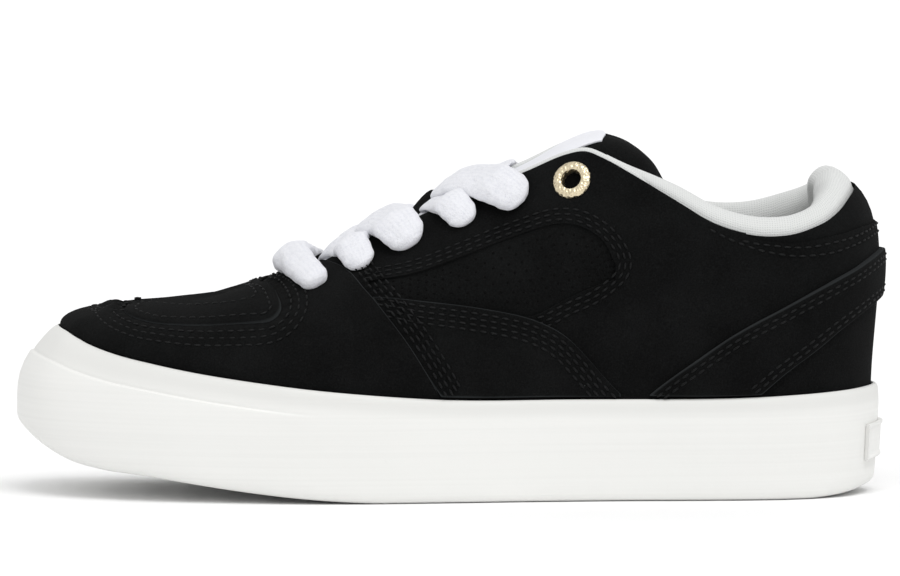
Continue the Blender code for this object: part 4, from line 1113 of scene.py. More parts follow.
def carved(item, cutter_mesh):
    """Cuts a mesh out of a piece and keeps the result as a plain mesh."""
    if "Rim" in cutter_mesh.attributes:
        cutter_mesh.attributes.remove(cutter_mesh.attributes["Rim"])
    cutter = linked("cutter", cutter_mesh)
    tool = item.modifiers.new("Cut", "BOOLEAN")
    tool.operation = "DIFFERENCE"
    tool.object = cutter
    baked(item)
    bpy.data.objects.remove(cutter, do_unlink=True)
    return item


def full_ring(steps):
    """Signed shares around for a closed ring, heel first, outer side first."""
    side = np.linspace(0.0, 1.0, steps + 1)
    return np.concatenate([side, -side[-2:0:-1]])


def make_sole():
    """Sidewall with the line of the toe bumper, cup and tread; the top band is marked for painted
    shade.
    """
    around = full_ring(190)
    fade = ramp(0.36, 0.24, along_at(outline(around)[0][..., 0]))
    rings = []
    for share, inset, stepped in SIDEWALL:
        in_groove = 0.7 <= share <= 0.9
        groove = inset * fade * 0.6 if in_groove else inset
        level = np.full_like(around, share)
        rings.append(sole_point(around, level, groove + stepped * BUMPER_STEP * fade))
    rim, floor = cup_wall(around, False), cup_wall(around, True)
    rings += [rim * 0.35 + rings[-1] * 0.65, rim * 0.8 + rings[-1] * 0.2,
              rim + (floor - rim) * 0.03, (rim + floor) / 2, floor]
    walls = net("sole", np.stack(rings), closed=True)
    foot = net("foot", sheet_within(rings[0], foot_height))
    inside = net("inside", sheet_within(floor, floor_height))
    mesh = cleaned(merged("sole", [walls, foot, inside]))
    sole = carved(piece("rubber_sole", mesh, finish("rubber")), tread_cutter())
    shaded(sole.data)
    points = np.array([vertex.co for vertex in sole.data.vertices])
    # marks the sidewall's top band for painted shade
    mark_painted_edge(sole.data, ramp(0.78, 0.92, points[:, 2] / rim_height(along_at(points[:, 0]))))
    return settle(sole, "sole_rubber", "sole")


# Upper

TOP_ROLL = np.array([       # up, and how far the wall's outer face rolls in there
    (0.985, 0.00003), (0.991, 0.0001), (0.996, 0.0003), (1.0, 0.0007),
])
VAMP_PROFILE = np.array([   # around, past the vamp's rear edge, and share of its step there
    (0.0002, 0.45), (0.0005, 0.75), (0.0011, 0.94), (0.0020, 1.0),
])
APRON_SEAM = [              # the plug's outline, from the ridge behind the toes to the front
    Edge(0.752, 1.00), Edge(0.734, 0.90), Edge(0.698, 0.76), Edge(0.672, 0.62),
    Edge(0.667, 0.50), Edge(0.684, 0.410), Edge(0.735, 0.400), Edge(0.785, 0.412),
    Edge(0.835, 0.435), Edge(0.885, 0.525), Edge(0.945, 0.74), Edge(1.000, 0.84),
]
RIDGE_SHAPE = [             # around, and how far the ridge stands over the plain skin there
    (0.70, 0.0), (0.72, -0.0003), (0.74, -0.0006), (0.763, -0.0007), (0.774, -0.0002),
    (0.783, -0.0004), (0.792, -0.0012), (0.81, -0.0009), (0.84, 0.0002), (0.88, 0.0006),
    (0.94, 0.0007), (1.0, 0.0004),
]
SEAM_REGION = 0.62          # around: the gathers lie in front of this
GATHER_PITCH = 0.0042
GATHER_HEIGHT = 0.0004
CUT_DEPTH = 0.004           # how far a cutter reaches out over the skin
MARK_REACH = 0.003          # a point further than this from an edge isn't part of it


def shell_places(behind=120, ahead=112, levels=56):
    """Places and lifts over one side of the wall; a grid line follows the vamp's rear edge."""
    up = np.concatenate([[-1.0, -0.4], np.linspace(0.0, 0.98, levels), TOP_ROLL[:, 0]])
    edge = vamp_edge_at(up)
    rear = np.linspace(0.0, 1.0, behind)[:, None] * edge
    step = edge + VAMP_PROFILE[:, :1]
    start = step[-1]
    front = start + np.linspace(0.0, 1.0, ahead)[1:, None] * (1.0 - start)
    around = np.concatenate([rear, step, front])
    rise = np.concatenate([np.zeros(behind), VAMP_PROFILE[:, 1], np.ones(ahead - 1)])
    height = vamp_lift(around) + vamp_over(around - edge, up)
    lift = rise[:, None] * height * ramp(0.0, 0.05, up)
    roll = np.interp(up, TOP_ROLL[:, 0], TOP_ROLL[:, 1], left=0.0)
    open_edge = 1.0 - ramp(THROAT_END - 0.02, THROAT_END, around)
    return around, np.broadcast_to(up, around.shape), lift - roll * open_edge


def on_vamp_edge(around, up):
    """1 on the vamp's rear edge, 0 away from it."""
    past = np.abs(around) - vamp_edge_at(up)
    return ((past > 0.0001) & (past < 0.0012)).astype(float)


def apron_seam(count=120):
    return edge_line(APRON_SEAM, count)


def from_seam(points, near, batch=4000):
    """Distance to the apron's seam and place along it; points that aren't near get 1 m."""
    seam = SKIN.at(*mirrored(apron_seam()))
    lengths = run_lengths(seam)
    gap = np.full(len(points), 1.0)
    run = np.zeros(len(points))
    numbers = np.nonzero(near)[0]
    for first in range(0, len(numbers), batch):
        some = numbers[first:first + batch]
        away = np.linalg.norm(points[some][:, None] - seam[None], axis=-1)
        closest = away.argmin(axis=1)
        gap[some] = away[np.arange(len(some)), closest]
        run[some] = lengths[closest]
    return gap, run


def ridge_shape(around, up):
    """Small rises and dips along the ridge over the toes."""
    places, lifts = zip(*RIDGE_SHAPE)
    return np.interp(np.abs(around), places, lifts) * ramp(0.74, 1.0, up)


def bulge(distance, centre, spread):
    """1 at the centre, fading out on both sides of it."""
    return np.exp(-((distance - centre) / spread) ** 2)


def swell(points, around, up):
    """Gathers outside the apron's seam and a soft unevenness of the leather."""
    flat = points.reshape(-1, 3)
    gap, run = from_seam(flat, np.abs(around).reshape(-1) > SEAM_REGION)
    front = ramp(0.86, 0.95, np.abs(around)).reshape(-1)
    hump = bulge(gap, 0.0050, 0.0028) * (0.0005 + 0.0009 * front)
    dip = bulge(gap, 0.0, 0.0012) * 0.0002
    gathers = np.sin(run * 2 * math.pi / GATHER_PITCH) * GATHER_HEIGHT * bulge(gap, 0.003, 0.002)
    soft = (np.sin(flat[:, 0] * 92.0 + flat[:, 2] * 70.0) * np.sin(flat[:, 0] * 41.0 - 1.0)
            * 0.00022)
    wave = (hump - dip + gathers + soft).reshape(around.shape) + ridge_shape(around, up)
    wave = wave * (1.0 - ramp(0.80, 0.90, up) * ramp(0.84, 0.90, np.abs(around)))
    return wave * ramp(0.03, 0.12, up) * (1.0 - ramp(0.965, 0.985, up) * (np.abs(around) < 0.7))


def window_cutter(sign):
    """Pocket for the vented window of one side."""
    around, up = patch_places(WINDOW_TOP, WINDOW_LOW, (80, 16))
    return slab("window", *(SKIN.at(sign * around, up, offset)
                            for offset in (-WINDOW_DEPTH, CUT_DEPTH)))


def band_cutter():
    """Pocket for the soft band round the heel under the collar."""
    around, low_up = mirrored(edge_line(BAND_LOW, 60))
    nets = []
    for offset in (-COLLAR_BAND_DEPTH, CUT_DEPTH):
        rows = [SKIN.at(around, low_up + (1.0 - low_up) * part, offset)
                for part in (0.0, 0.25, 0.5, 0.75, 1.0)]
        past_top = rows[-1] + (rows[-1] - rows[0]) * 0.3
        rows.append(past_top + np.array([0.0, 0.0, CUT_DEPTH]))
        nets.append(np.stack(rows, axis=1))
    return slab("band", *nets)


def facing(place, sign):
    """Matrix that sets a turned shape upright on the skin."""
    around, up = np.array(sign * place.around), np.array(place.up)
    normal = Vector(SKIN.normal(around, up))
    turn = normal.to_track_quat("Z", "Y").to_matrix().to_4x4()
    return Matrix.Translation(Vector(SKIN.at(around, up))) @ turn


def punches():
    """Cutters for the lace holes, and for the wider top pair that carries the eyelets."""
    depth = 0.012
    shape = bmesh.new()
    for place in EYELETS:
        width = EYELET_HOLE if place is EYELETS[-1] else PUNCH_DIAMETER
        for sign in (1, -1):
            add_pin(shape, width, depth, facing(place, sign))
    return mesh_of("punches", shape)


def make_upper():
    """Hollow wall round the foot, with its pockets and holes cut out."""
    around, up, lift = (np.concatenate([part, sign * part[-2:0:-1]])
                        for part, sign in zip(shell_places(), (-1, 1, 1)))
    points = SKIN.at(around, up, lift + swell(SKIN.at(around, up), around, up))
    mesh = net("upper", points.transpose(1, 0, 2), closed=True)
    # the vamp's rear edge is marked for a painted highlight
    mark_painted_edge(mesh, (on_vamp_edge(around, up) * (up > 0.02)).T.ravel())
    mesh = cleaned(mesh, solid=False, welded=2e-5)
    upper = thickened(piece("suede_upper", mesh, finish("suede")), UPPER_WALL, False)
    baked(upper)
    cutters = merged("cutters", [window_cutter(1), window_cutter(-1), band_cutter(), punches()])
    carved(upper, cutters)
    keep_painted_edge_near(upper.data, VAMP_EDGE)
    shaded(upper.data, 38.0)
    return settle(upper, "suede", "upper")


def keep_painted_edge_near(mesh, edge):
    """Clears the painted edge highlight on points that a cut left away from the edge."""
    around, up = edge_line(edge)
    line = np.concatenate([SKIN.at(sign * around, up) for sign in (1, -1)])
    points = np.array([vertex.co for vertex in mesh.vertices])
    marks = np.empty(len(points))
    mesh.attributes["Rim"].data.foreach_get("value", marks)
    for spot in np.nonzero(marks)[0]:
        if np.linalg.norm(line - points[spot], axis=1).min() > MARK_REACH:
            marks[spot] = 0.0
    mesh.attributes["Rim"].data.foreach_set("value", marks)


def overlay(name, nets, node):
    """A suede panel between two nets, in place of its solid."""
    made = softened(piece(name, slab(name, *nets), finish("suede")), 0.0005, 3)
    return settle(baked(made), "suede", node)


def make_overlays():
    """The side panels, which run on under the vamp, and the heel strap."""
    for sign, side in ((1, "outer"), (-1, "inner")):
        around, up = patch_places(SIDE_PANEL_TOP, SIDE_PANEL_LOW, (90, 40), SIDE_PANEL_FRONT)
        reach = np.linspace(0.0, 1.0, around.shape[0])[:, None]
        around = around + PANEL_TUCK * (1.0 - reach) ** 8
        nets = [SKIN.at(sign * around, up, height)
                for height in (-CLEARANCE, SIDE_PANEL_THICKNESS)]
        overlay("side_panel_suede_" + side, nets, "side_panel_" + side)
    around, up = mirrored(patch_places(STRAP_TOP, STRAP_LOW, (110, 24)))
    puff = STRAP_PUFF * np.sin(math.pi * np.linspace(0.0, 1.0, up.shape[1])) ** 0.5
    nets = [SKIN.at(around, up, -CLEARANCE), SKIN.at(around, up, STRAP_THICKNESS + puff)]
    overlay("heel_strap_suede", nets, "heel_strap")


def make_apron():
    """Plug over the toes, inside its seam; both halves meet on the ridge."""
    side, rise = apron_seam(100)
    share = np.linspace(0.0, 1.0, 28)[None, :]
    middle = np.linspace(side[0], 1.0, len(side))[:, None]
    around = side[:, None] * (1.0 - share) + middle * share
    up = rise[:, None] * (1.0 - share) + share
    round_edge = np.sqrt(1.0 - (1.0 - ramp(0.0, 0.12, share)) ** 2)
    crown = (vamp_lift(around) + APRON_THICKNESS * round_edge + ridge_shape(around, up)
             + APRON_CROWN * share * ramp(0.77, 0.86, around))
    halves = [SKIN.at(around, up, crown), SKIN.at(-around, up, crown)]
    sheet = net("apron", np.concatenate([halves[0], halves[1][:, -2::-1]], axis=1))
    # the apron's seam edges are marked for a painted highlight
    border = np.zeros((len(side), 2 * share.size - 1))
    border[:, [0, -1]] = 1.0
    mark_painted_edge(sheet, border.ravel())
    apron = piece("toe_apron_suede", cleaned(sheet, solid=False, welded=2e-5), finish("suede"))
    return settle(baked(thickened(apron, APRON_THICKNESS, False)), "suede", "toe_apron")


# Stitches and vents, by geometry nodes

VAMP_ROWS_TOP = 0.755       # up: the vamp's rows end here
SIDE_LENGTH = 0.35          # about what one side measures round; turns a distance into a share
STITCH_RISE = 0.25          # share of the thread's width by which its axis lies over the suede
APRON_ROWS = [              # distance outside the seam, more of it at the toe, height over it
    (-0.0038, -0.0008, 0.0007),
    (0.0037, 0.0048, 0.0004),
    (0.0064, 0.0050, 0.0001),
    (0.0092, 0.0055, 0.0000),
]
APRON_INNER = [             # innermost row, from the ridge behind the toes to the front
    Edge(0.777, 0.99), Edge(0.736, 0.815), Edge(0.711, 0.662), Edge(0.721, 0.625),
    Edge(0.744, 0.625), Edge(0.800, 0.690), Edge(0.860, 0.740), Edge(0.948, 0.828),
    Edge(0.982, 0.915),
]
BAND_ROWS = [               # rows round the heel: just under the soft band, and lower down
    [Edge(0.205, 0.917), Edge(0.173, 0.895), Edge(0.135, 0.833), Edge(0.099, 0.795),
     Edge(0.049, 0.728), Edge(0.000, 0.705)],
    [Edge(0.236, 0.922), Edge(0.212, 0.893), Edge(0.170, 0.828), Edge(0.145, 0.785),
     Edge(0.113, 0.743), Edge(0.081, 0.715), Edge(0.050, 0.685), Edge(0.000, 0.660)],
]
VENT_LINES = 7
VENT_FIRST = 0.14           # shares of the window's height: its first line of holes
VENT_STEP = 0.12            # and from one line to the next
VENT_DISC = 0.00008         # thickness of a disc of painted shade that stands for a hole
VENT_LIFT = 0.00003         # how far its middle lies over the window's floor


class Tree:
    """A geometry node group with named inputs, built node by node."""

    def __init__(self, name, **sizes):
        self.group = bpy.data.node_groups.new(name, "GeometryNodeTree")
        face = self.group.interface
        face.new_socket("Geometry", in_out="INPUT", socket_type="NodeSocketGeometry")
        for key in sizes:
            face.new_socket(key, in_out="INPUT", socket_type="NodeSocketFloat")
        face.new_socket("Finish", in_out="INPUT", socket_type="NodeSocketMaterial")
        face.new_socket("Geometry", in_out="OUTPUT", socket_type="NodeSocketGeometry")
        self.entry = self.group.nodes.new("NodeGroupInput")
        self.sizes = sizes

    def node(self, kind, settings=None, **links):
        made = self.group.nodes.new(kind)
        for key, value in (settings or {}).items():
            setattr(made, key, value)
        for key, value in links.items():
            socket = made.inputs[key.replace("_", " ")]
            if hasattr(value, "is_output"):
                self.group.links.new(value, socket)
            else:
                socket.default_value = value
        return made.outputs[0]

    def given(self, key):
        return self.entry.outputs[key]

    def close(self, geometry):
        """Ends the group as the export needs it: real geometry with its finish."""
        real = self.node("GeometryNodeRealizeInstances", Geometry=geometry)
        smooth = self.node("GeometryNodeSetShadeSmooth", Geometry=real)
        dressed = self.node("GeometryNodeSetMaterial", Geometry=smooth,
                            Material=self.given("Finish"))
        out = self.group.nodes.new("NodeGroupOutput")
        self.group.links.new(dressed, out.inputs["Geometry"])

    def run(self, item, material):
        """Puts the group on an object and turns the result into a plain mesh."""
        tool = item.modifiers.new(self.group.name, "NODES")
        tool.node_group = self.group
        for socket in self.group.interface.items_tree:
            if socket.in_out != "INPUT" or socket.name == "Geometry":
                continue
            tool[socket.identifier] = (material if socket.name == "Finish"
                                       else self.sizes[socket.name])
        item.data.materials.clear()
        return baked(item)


def stitch_tree(sizes):
    """A stitch at every pitch along chains of edges, turned along them."""
    tree = Tree("Stitch rows", Pitch=sizes.stitch_pitch, Length=sizes.stitch_length,
                Thread=sizes.thread_width)
    line = tree.node("GeometryNodeMeshToCurve", Mesh=tree.given("Geometry"))
    spaced = tree.node("GeometryNodeResampleCurve", {"mode": "LENGTH"}, Curve=line,
                       Length=tree.given("Pitch"))
    ball = tree.node("GeometryNodeMeshUVSphere", Segments=6, Rings=6, Radius=0.5)
    size = tree.node("ShaderNodeCombineXYZ", X=tree.given("Length"), Y=tree.given("Thread"),
                     Z=tree.given("Thread"))
    stitch = tree.node("GeometryNodeTransform", Geometry=ball, Scale=size)
    run = tree.node("GeometryNodeInputTangent")
    turn = tree.node("FunctionNodeAlignRotationToVector", {"axis": "X"}, Vector=run)
    rows = tree.node("GeometryNodeInstanceOnPoints", Points=spaced, Instance=stitch,
                     Rotation=turn)
    tree.close(rows)
    return tree


def vent_tree(sizes):
    """A thin disc of painted shade on every point, turned to the point's own direction."""
    tree = Tree("Vent holes", Width=sizes.vent_width)
    disc = tree.node("GeometryNodeMeshCylinder", Vertices=10, Side_Segments=1,
                     Fill_Segments=1, Radius=0.5, Depth=VENT_DISC)
    flat = tree.node("ShaderNodeCombineXYZ", X=tree.given("Width"), Y=tree.given("Width"), Z=1.0)
    hole = tree.node("GeometryNodeTransform", Geometry=disc, Scale=flat)
    out = tree.node("GeometryNodeInputNamedAttribute", {"data_type": "FLOAT_VECTOR"},
                    Name="facing")
    turn = tree.node("FunctionNodeAlignRotationToVector", {"axis": "Z"}, Vector=out)
    holes = tree.node("GeometryNodeInstanceOnPoints", Points=tree.given("Geometry"),
                      Instance=hole, Rotation=turn)
    tree.close(holes)
    return tree


def rows_object(name, rows):
    """An object that holds each row of stitches as a chain of edges."""
    points = np.concatenate(rows)
    edges = []
    start = 0
    for row in rows:
        edges += [(start + k, start + k + 1) for k in range(len(row) - 1)]
        start += len(row)
    mesh = bpy.data.meshes.new(name)
    mesh.from_pydata(points.tolist(), edges, [])
    return linked(name, mesh)


def row_on(line, lift, sign=1):
    """A row of stitches on the skin, cut off near the rim and well past the ridge."""
    around, up = line
    keep = (up > 0.015) & (up < 1.2)
    lift = np.broadcast_to(lift, around.shape)
    return SKIN.at(sign * around[keep], up[keep], lift[keep])


def seam_rows(sizes):
    """Every row of stitches, by the piece that it holds."""
    gap = sizes.row_gap
    rise = STITCH_RISE * sizes.thread_width
    rows = {"vamp": [], "side_panel": [], "window": [], "collar_band": [], "strap": [],
            "apron": []}
    vamp, panel = edge_line(VAMP_EDGE), edge_line(SIDE_PANEL_TOP)
    window = window_loop()
    for sign in (1, -1):
        for number in range(4):
            distance = 0.0018 + number * gap
            side = beside(*vamp, -distance)
            side = tuple(part[side[1] < VAMP_ROWS_TOP] for part in side)
            over = vamp_over(distance / SIDE_LENGTH, side[1])
            rows["vamp"].append(row_on(side, VAMP_STEP + over + rise, sign))
            side = beside(*panel, -(0.0020 + number * gap))
            rows["side_panel"].append(row_on(side, SIDE_PANEL_THICKNESS + rise, sign))
        for number in range(3):
            side = beside(*window, 0.0012 + number * gap)
            rows["window"].append(row_on(side, rise, sign))
    rows["collar_band"] = [row_on(mirrored(edge_line(edge)), rise) for edge in BAND_ROWS]
    for edge, turn in ((STRAP_TOP, -1), (STRAP_LOW, 1)):
        for number in range(2):
            side = beside(*edge_line(edge), turn * (0.0020 + number * gap))
            side[0][-1] = 0.0
            rows["strap"].append(row_on(mirrored(side), STRAP_THICKNESS + 0.0001 + rise))
    seam = apron_seam()
    wider = ramp(0.87, 0.99, seam[0])
    lines = [(edge_line(APRON_INNER), 0.0007)]
    lines += [(beside(*seam, distance + wider * ahead), height)
              for distance, ahead, height in APRON_ROWS]
    for (around, up), height in lines:
        inside = (up < 1.0) & (around < 1.0) & ((around < 0.93) | (up < 0.90))
        line = around[inside], up[inside]
        lift = vamp_lift(line[0]) + height + rise + ridge_shape(*line)
        rows["apron"] += [row_on(line, lift, sign) for sign in (1, -1)]
    return rows


def window_loop():
    """The window's border, from its front low corner up, over and back underneath."""
    return edge_line(WINDOW_TOP + WINDOW_LOW[::-1][1:-1], 200)


def make_stitching(sizes):
    """One object of stitches for each of the pieces that they hold."""
    tree = stitch_tree(sizes)
    for name, rows in seam_rows(sizes).items():
        made = tree.run(rows_object(name + "_stitches", rows), finish("thread"))
        settle(made, "suede")


def make_vents(sizes):
    """Staggered vent holes over the window, drawn as discs of painted shade."""
    points, out = [], []
    columns = sizes.vent_columns
    for sign in (1, -1):
        for line in range(VENT_LINES):
            share = (np.arange(columns) + 0.5 * (line % 2) + 0.4) / (columns + 0.3)
            across = VENT_FIRST + VENT_STEP * line
            top, low = along_edge(WINDOW_TOP, share), along_edge(WINDOW_LOW, share)
            around = sign * (top[0] + (low[0] - top[0]) * across)
            up = top[1] + (low[1] - top[1]) * across
            points.append(SKIN.at(around, up, -WINDOW_DEPTH + VENT_LIFT))
            out.append(SKIN.normal(around, up))
    mesh = bpy.data.meshes.new("window_vents")
    mesh.from_pydata(np.concatenate(points).tolist(), [], [])
    mesh.attributes.new("facing", "FLOAT_VECTOR", "POINT")
    mesh.attributes["facing"].data.foreach_set("vector", np.concatenate(out).ravel())
    made = vent_tree(sizes).run(linked("window_vents", mesh), finish("hole"))
    return settle(made, "suede")


# Lining, collar pad and insole

LINING_REACH = 0.60         # around, on both sides of the heel
EDGING_SPAN = (0.30, 0.50)  # around: the rolled edging runs along the throat between these
PAD_REACH = 0.345           # around, on both sides of the heel
PAD_SECTION = [             # share of the thickness inwards, and lift past the top line
    (0.00, -0.42), (0.00, -0.28), (0.00, -0.14), (0.02, -0.02), (0.10, 0.55), (0.45, 1.10),
    (0.80, 0.85), (1.04, 0.12), (1.10, -0.12), (0.92, -0.28), (0.38, -0.44),
]
INSOLE_EDGE = [             # inset from the wall, and height over the cup's floor
    (0.0008, 0.0), (0.0, 0.0012), (0.0, 0.0045), (0.0006, 0.0056), (0.0018, 0.0060),
    (0.004, 0.0057), (0.009, 0.0051),
]
INSOLE_TOP = 0.0053         # height of its middle over the cup's floor


def make_lining():
    """White mesh against the inner face of the upper, and the roll along its edge."""
    share = np.linspace(-LINING_REACH, LINING_REACH, 220)
    level = np.linspace(-0.8, 0.995, 44)
    around, up = np.meshgrid(share, level, indexing="ij")
    points = SKIN.at(around, up, -UPPER_WALL - LINING_GAP)
    mesh = cleaned(net("lining", points), solid=False)
    lining = piece("mesh_lining", mesh, finish("lining"))
    thickened(lining, LINING_THICKNESS, False)
    settle(baked(lining), "lining")
    for sign, side in ((1, "outer"), (-1, "inner")):
        settle(edge_roll(sign, "throat_edging_" + side), "lining")


def edge_roll(sign, name):
    """Rolled edging of the lining along the throat, just proud of the suede."""
    first, last = EDGING_SPAN
    share = np.linspace(first, last, 120)
    ends = np.minimum(ramp(0.0, 0.02, share - first), ramp(0.0, 0.02, last - share))
    radius = 0.0004 + 0.0012 * ends
    middle = SKIN.at(sign * share, np.ones_like(share), -UPPER_WALL * 0.5 - 0.0012)
    middle[:, 2] += 0.0002
    tangent = unit(np.gradient(middle, axis=0))
    side = unit(np.cross(tangent, np.array([0.0, 0.0, 1.0])))
    rise = np.cross(side, tangent)
    ring = [middle + side * (math.cos(turn) * radius)[:, None]
            + rise * (math.sin(turn) * radius * 1.2)[:, None] for turn in full_turn(16)]
    return piece(name, cleaned(net(name, np.stack(ring, axis=1), closed=True, capped=True)),
                 finish("lining"))


def make_collar_pad():
    """Padding round the ankle, thickest at the heel; its section is smoothed all round."""
    share = np.linspace(-PAD_REACH, PAD_REACH, 240)
    ends = ramp(0.0, 0.10, PAD_REACH - np.abs(share))
    thickness = PAD_THICKNESS * (1.0 + 0.35 * (1.0 - ramp(0.04, 0.22, np.abs(share))))
    rings = []
    for depth, lift in PAD_SECTION:
        level = np.full_like(share, min(1.0, 1.0 + lift))
        spot = SKIN.at(share, level, -UPPER_WALL * 0.70 - CLEARANCE)
        inward = unit(SKIN.normal(share, level) * (1.0, 1.0, 0.0))
        spot = spot - inward * (depth * thickness * (0.30 + 0.70 * ends))[:, None]
        spot[:, 2] += max(lift, 0.0) * PAD_RISE * (0.35 + 0.65 * ends)
        rings.append(spot)
    section = np.stack(rings + rings[:3], axis=0)
    places = np.linspace(1.0, len(rings) + 1.0, 41)[:-1]
    knots = np.arange(len(section))
    points = np.stack([eased_points(knots, section[:, i], places) for i in range(len(share))])
    mesh = cleaned(net("collar_pad", points, closed=True, capped=True))
    return settle(piece("collar_padding", mesh, finish("lining")), "lining", "collar_pad",
                  fill=0.7)


def make_insole():
    """Cloth-covered insole with a raised edge."""
    around = full_ring(110)
    normal = outline(around)[1]
    edge = UPPER_WALL + 0.0012
    rings = []
    for inset, lift in INSOLE_EDGE:
        low = SKIN.at(around, np.full_like(around, -1.0))
        low[:, :2] -= normal * (edge + inset)
        low[:, 2] = floor_height(along_at(low[:, 0])) + CLEARANCE + lift
        rings.append(low)
    walls = net("insole", np.stack(rings), closed=True)
    sheets = [net("sheet", sheet_within(ring, lambda along: floor_height(along) + height, 20))
              for ring, height in ((rings[-1], INSOLE_TOP), (rings[0], CLEARANCE))]
    mesh = cleaned(merged("insole", [walls, *sheets]))
    return settle(piece("insole_cloth", mesh, finish("insole")), "insole_foam", "insole")


# Tongue and labels

Tongue = namedtuple("Tongue", "around tuck crown ahead lift thick")
TONGUE_ROWS = [             # down the shoe from the hidden root to the free top
    Tongue(0.680, 0.70, 0.02, 0.000, 0.000, 0.45),
    Tongue(0.640, 0.70, 0.02, 0.000, 0.000, 0.55),
    Tongue(0.595, 0.70, 0.00, 0.000, 0.000, 0.65),
    Tongue(0.572, 0.70, 0.00, 0.000, 0.000, 0.70),
    Tongue(0.534, 0.70, 0.30, 0.000, 0.000, 0.80),
    Tongue(0.510, 0.71, 0.00, 0.000, 0.000, 0.80),
    Tongue(0.495, 0.72, 0.00, 0.000, 0.000, 0.85),
    Tongue(0.440, 0.76, 0.06, 0.000, 0.000, 1.00),
    Tongue(0.400, 0.78, 0.12, 0.000, 0.000, 1.20),
    Tongue(0.382, 0.80, 0.12, 0.300, 0.120, 1.35),
    Tongue(0.368, 0.82, 0.10, 0.700, 0.250, 1.40),
    Tongue(0.360, 0.84, 0.08, 1.300, 0.120, 1.30),
    Tongue(0.356, 0.86, 0.05, 1.900, -0.300, 1.15),
    Tongue(0.354, 0.88, 0.03, 2.300, -0.950, 0.90),
]
LABEL_SPAN = (6.7, 9.75)    # rows of the tongue that the label covers


def tongue_net(places, across, reaching=1.0):
    """Outer face of the tongue at fractional rows and shares across."""
    numbers = np.arange(len(TONGUE_ROWS))
    lines = []
    for place in places:
        row = Tongue(*(float(eased(numbers, [getattr(each, key) for each in TONGUE_ROWS],
                                   np.array(place))) for key in Tongue._fields))
        offset = -(UPPER_WALL + 5 * CLEARANCE)
        sides = [SKIN.at(np.full(3, sign * row.around),
                         np.array([row.tuck, 0.5 + row.tuck / 2, 1.0]), offset)
                 for sign in (1, -1)]
        knots = np.concatenate([sides[0], sides[1][::-1]])
        middle = (sides[0][-1] + sides[1][-1]) / 2
        middle[2] += row.crown * THROAT_WIDTH
        knots = np.concatenate([knots[:3], middle[None], knots[3:]])
        lengths = run_lengths(knots)
        line = eased_points(lengths, knots, (across + 1.0) / 2.0 * lengths[-1])
        free = ((1.0 - across**2) ** 1.3)[:, None] * TONGUE_RISE
        lines.append(line + np.array([row.ahead, 0.0, row.lift]) * free * reaching)
    return np.stack(lines)


def net_normals(points):
    """Normals of a net that faces mostly upwards."""
    normal = unit(np.cross(np.gradient(points, axis=1), np.gradient(points, axis=0)))
    return normal * np.sign(normal[..., 2].sum())


def tongue_faces(rows=104, columns=57):
    """Outer and inner faces of the tongue, closed round its free end."""
    places = np.linspace(0.0, len(TONGUE_ROWS) - 1.0, rows)
    across = np.sin(np.linspace(-math.pi / 2, math.pi / 2, columns))
    outer = tongue_net(places, across)
    middle = (1.0 - across ** 2)[None, :, None]
    normal = unit(net_normals(outer) * middle
                  + net_normals(tongue_net(places, across, 0.0)) * (1.0 - middle))
    thick = eased(np.arange(len(TONGUE_ROWS)), [row.thick for row in TONGUE_ROWS], places)
    edge = np.sqrt(np.clip(1.0 - across ** 2, 0.0, 1.0)) * 0.9 + 0.1
    inner = outer - normal * (thick[:, None] * edge * TONGUE_THICKNESS)[..., None]
    ahead = unit(outer[-1] - outer[-3])
    centre, half = (outer[-1] + inner[-1]) / 2, (outer[-1] - inner[-1]) / 2
    size = np.linalg.norm(half, axis=-1, keepdims=True)
    turns = np.radians([15.0, 30.0, 45.0, 60.0, 75.0, 88.0])
    ends = [[centre + sign * half * math.cos(turn) + ahead * size * math.sin(turn)
             for turn in turns] for sign in (1, -1)]
    return np.concatenate([outer, ends[0]]), np.concatenate([inner, ends[1]])


def make_tongue():
    """Padded tongue, and the white mesh over the part of its back that is in view."""
    outer, inner = tongue_faces()
    ring = np.concatenate([outer, inner[:, ::-1]], axis=1)
    mesh = cleaned(net("tongue", ring, closed=True, capped=True), welded=5e-5)
    tongue = settle(piece("padded_tongue", mesh, finish("tongue"), 60.0), "tongue_cloth",
                    "tongue", fill=0.7)
    proud = unit(inner - outer) * 0.0004
    hidden_rows = 30
    back = cleaned(net("back", (inner + proud)[hidden_rows:]), solid=False)
    lining = thickened(piece("tongue_lining", back, finish("lining"), 60.0), 0.0003, True)
    settle(baked(lining), "lining")
    return tongue


def make_tongue_label():
    """Bare woven label near the top of the tongue."""
    places = np.linspace(*LABEL_SPAN, 40)
    outer = tongue_net(places, np.linspace(-1.0, 1.0, 121))
    width = np.linspace(-0.5, 0.5, 44) * LABEL_WIDTH
    lines = []
    for line in outer:
        order = np.argsort(line[:, 1])
        middle = line[len(line) // 2, 1]
        lines.append(np.stack([np.interp(width + middle, line[order, 1], line[order, k])
                               for k in range(3)], axis=1))
    inside = np.array(lines)
    normal = net_normals(inside)
    low = inside + normal * 0.0001
    top = net("label", low + normal * LABEL_THICKNESS)
    label = thickened(piece("woven_label", cleaned(top, solid=False), finish("label")),
                      LABEL_THICKNESS, False)
    softened(label, 0.0002)
    return settle(baked(label), "cotton", "tongue_label")


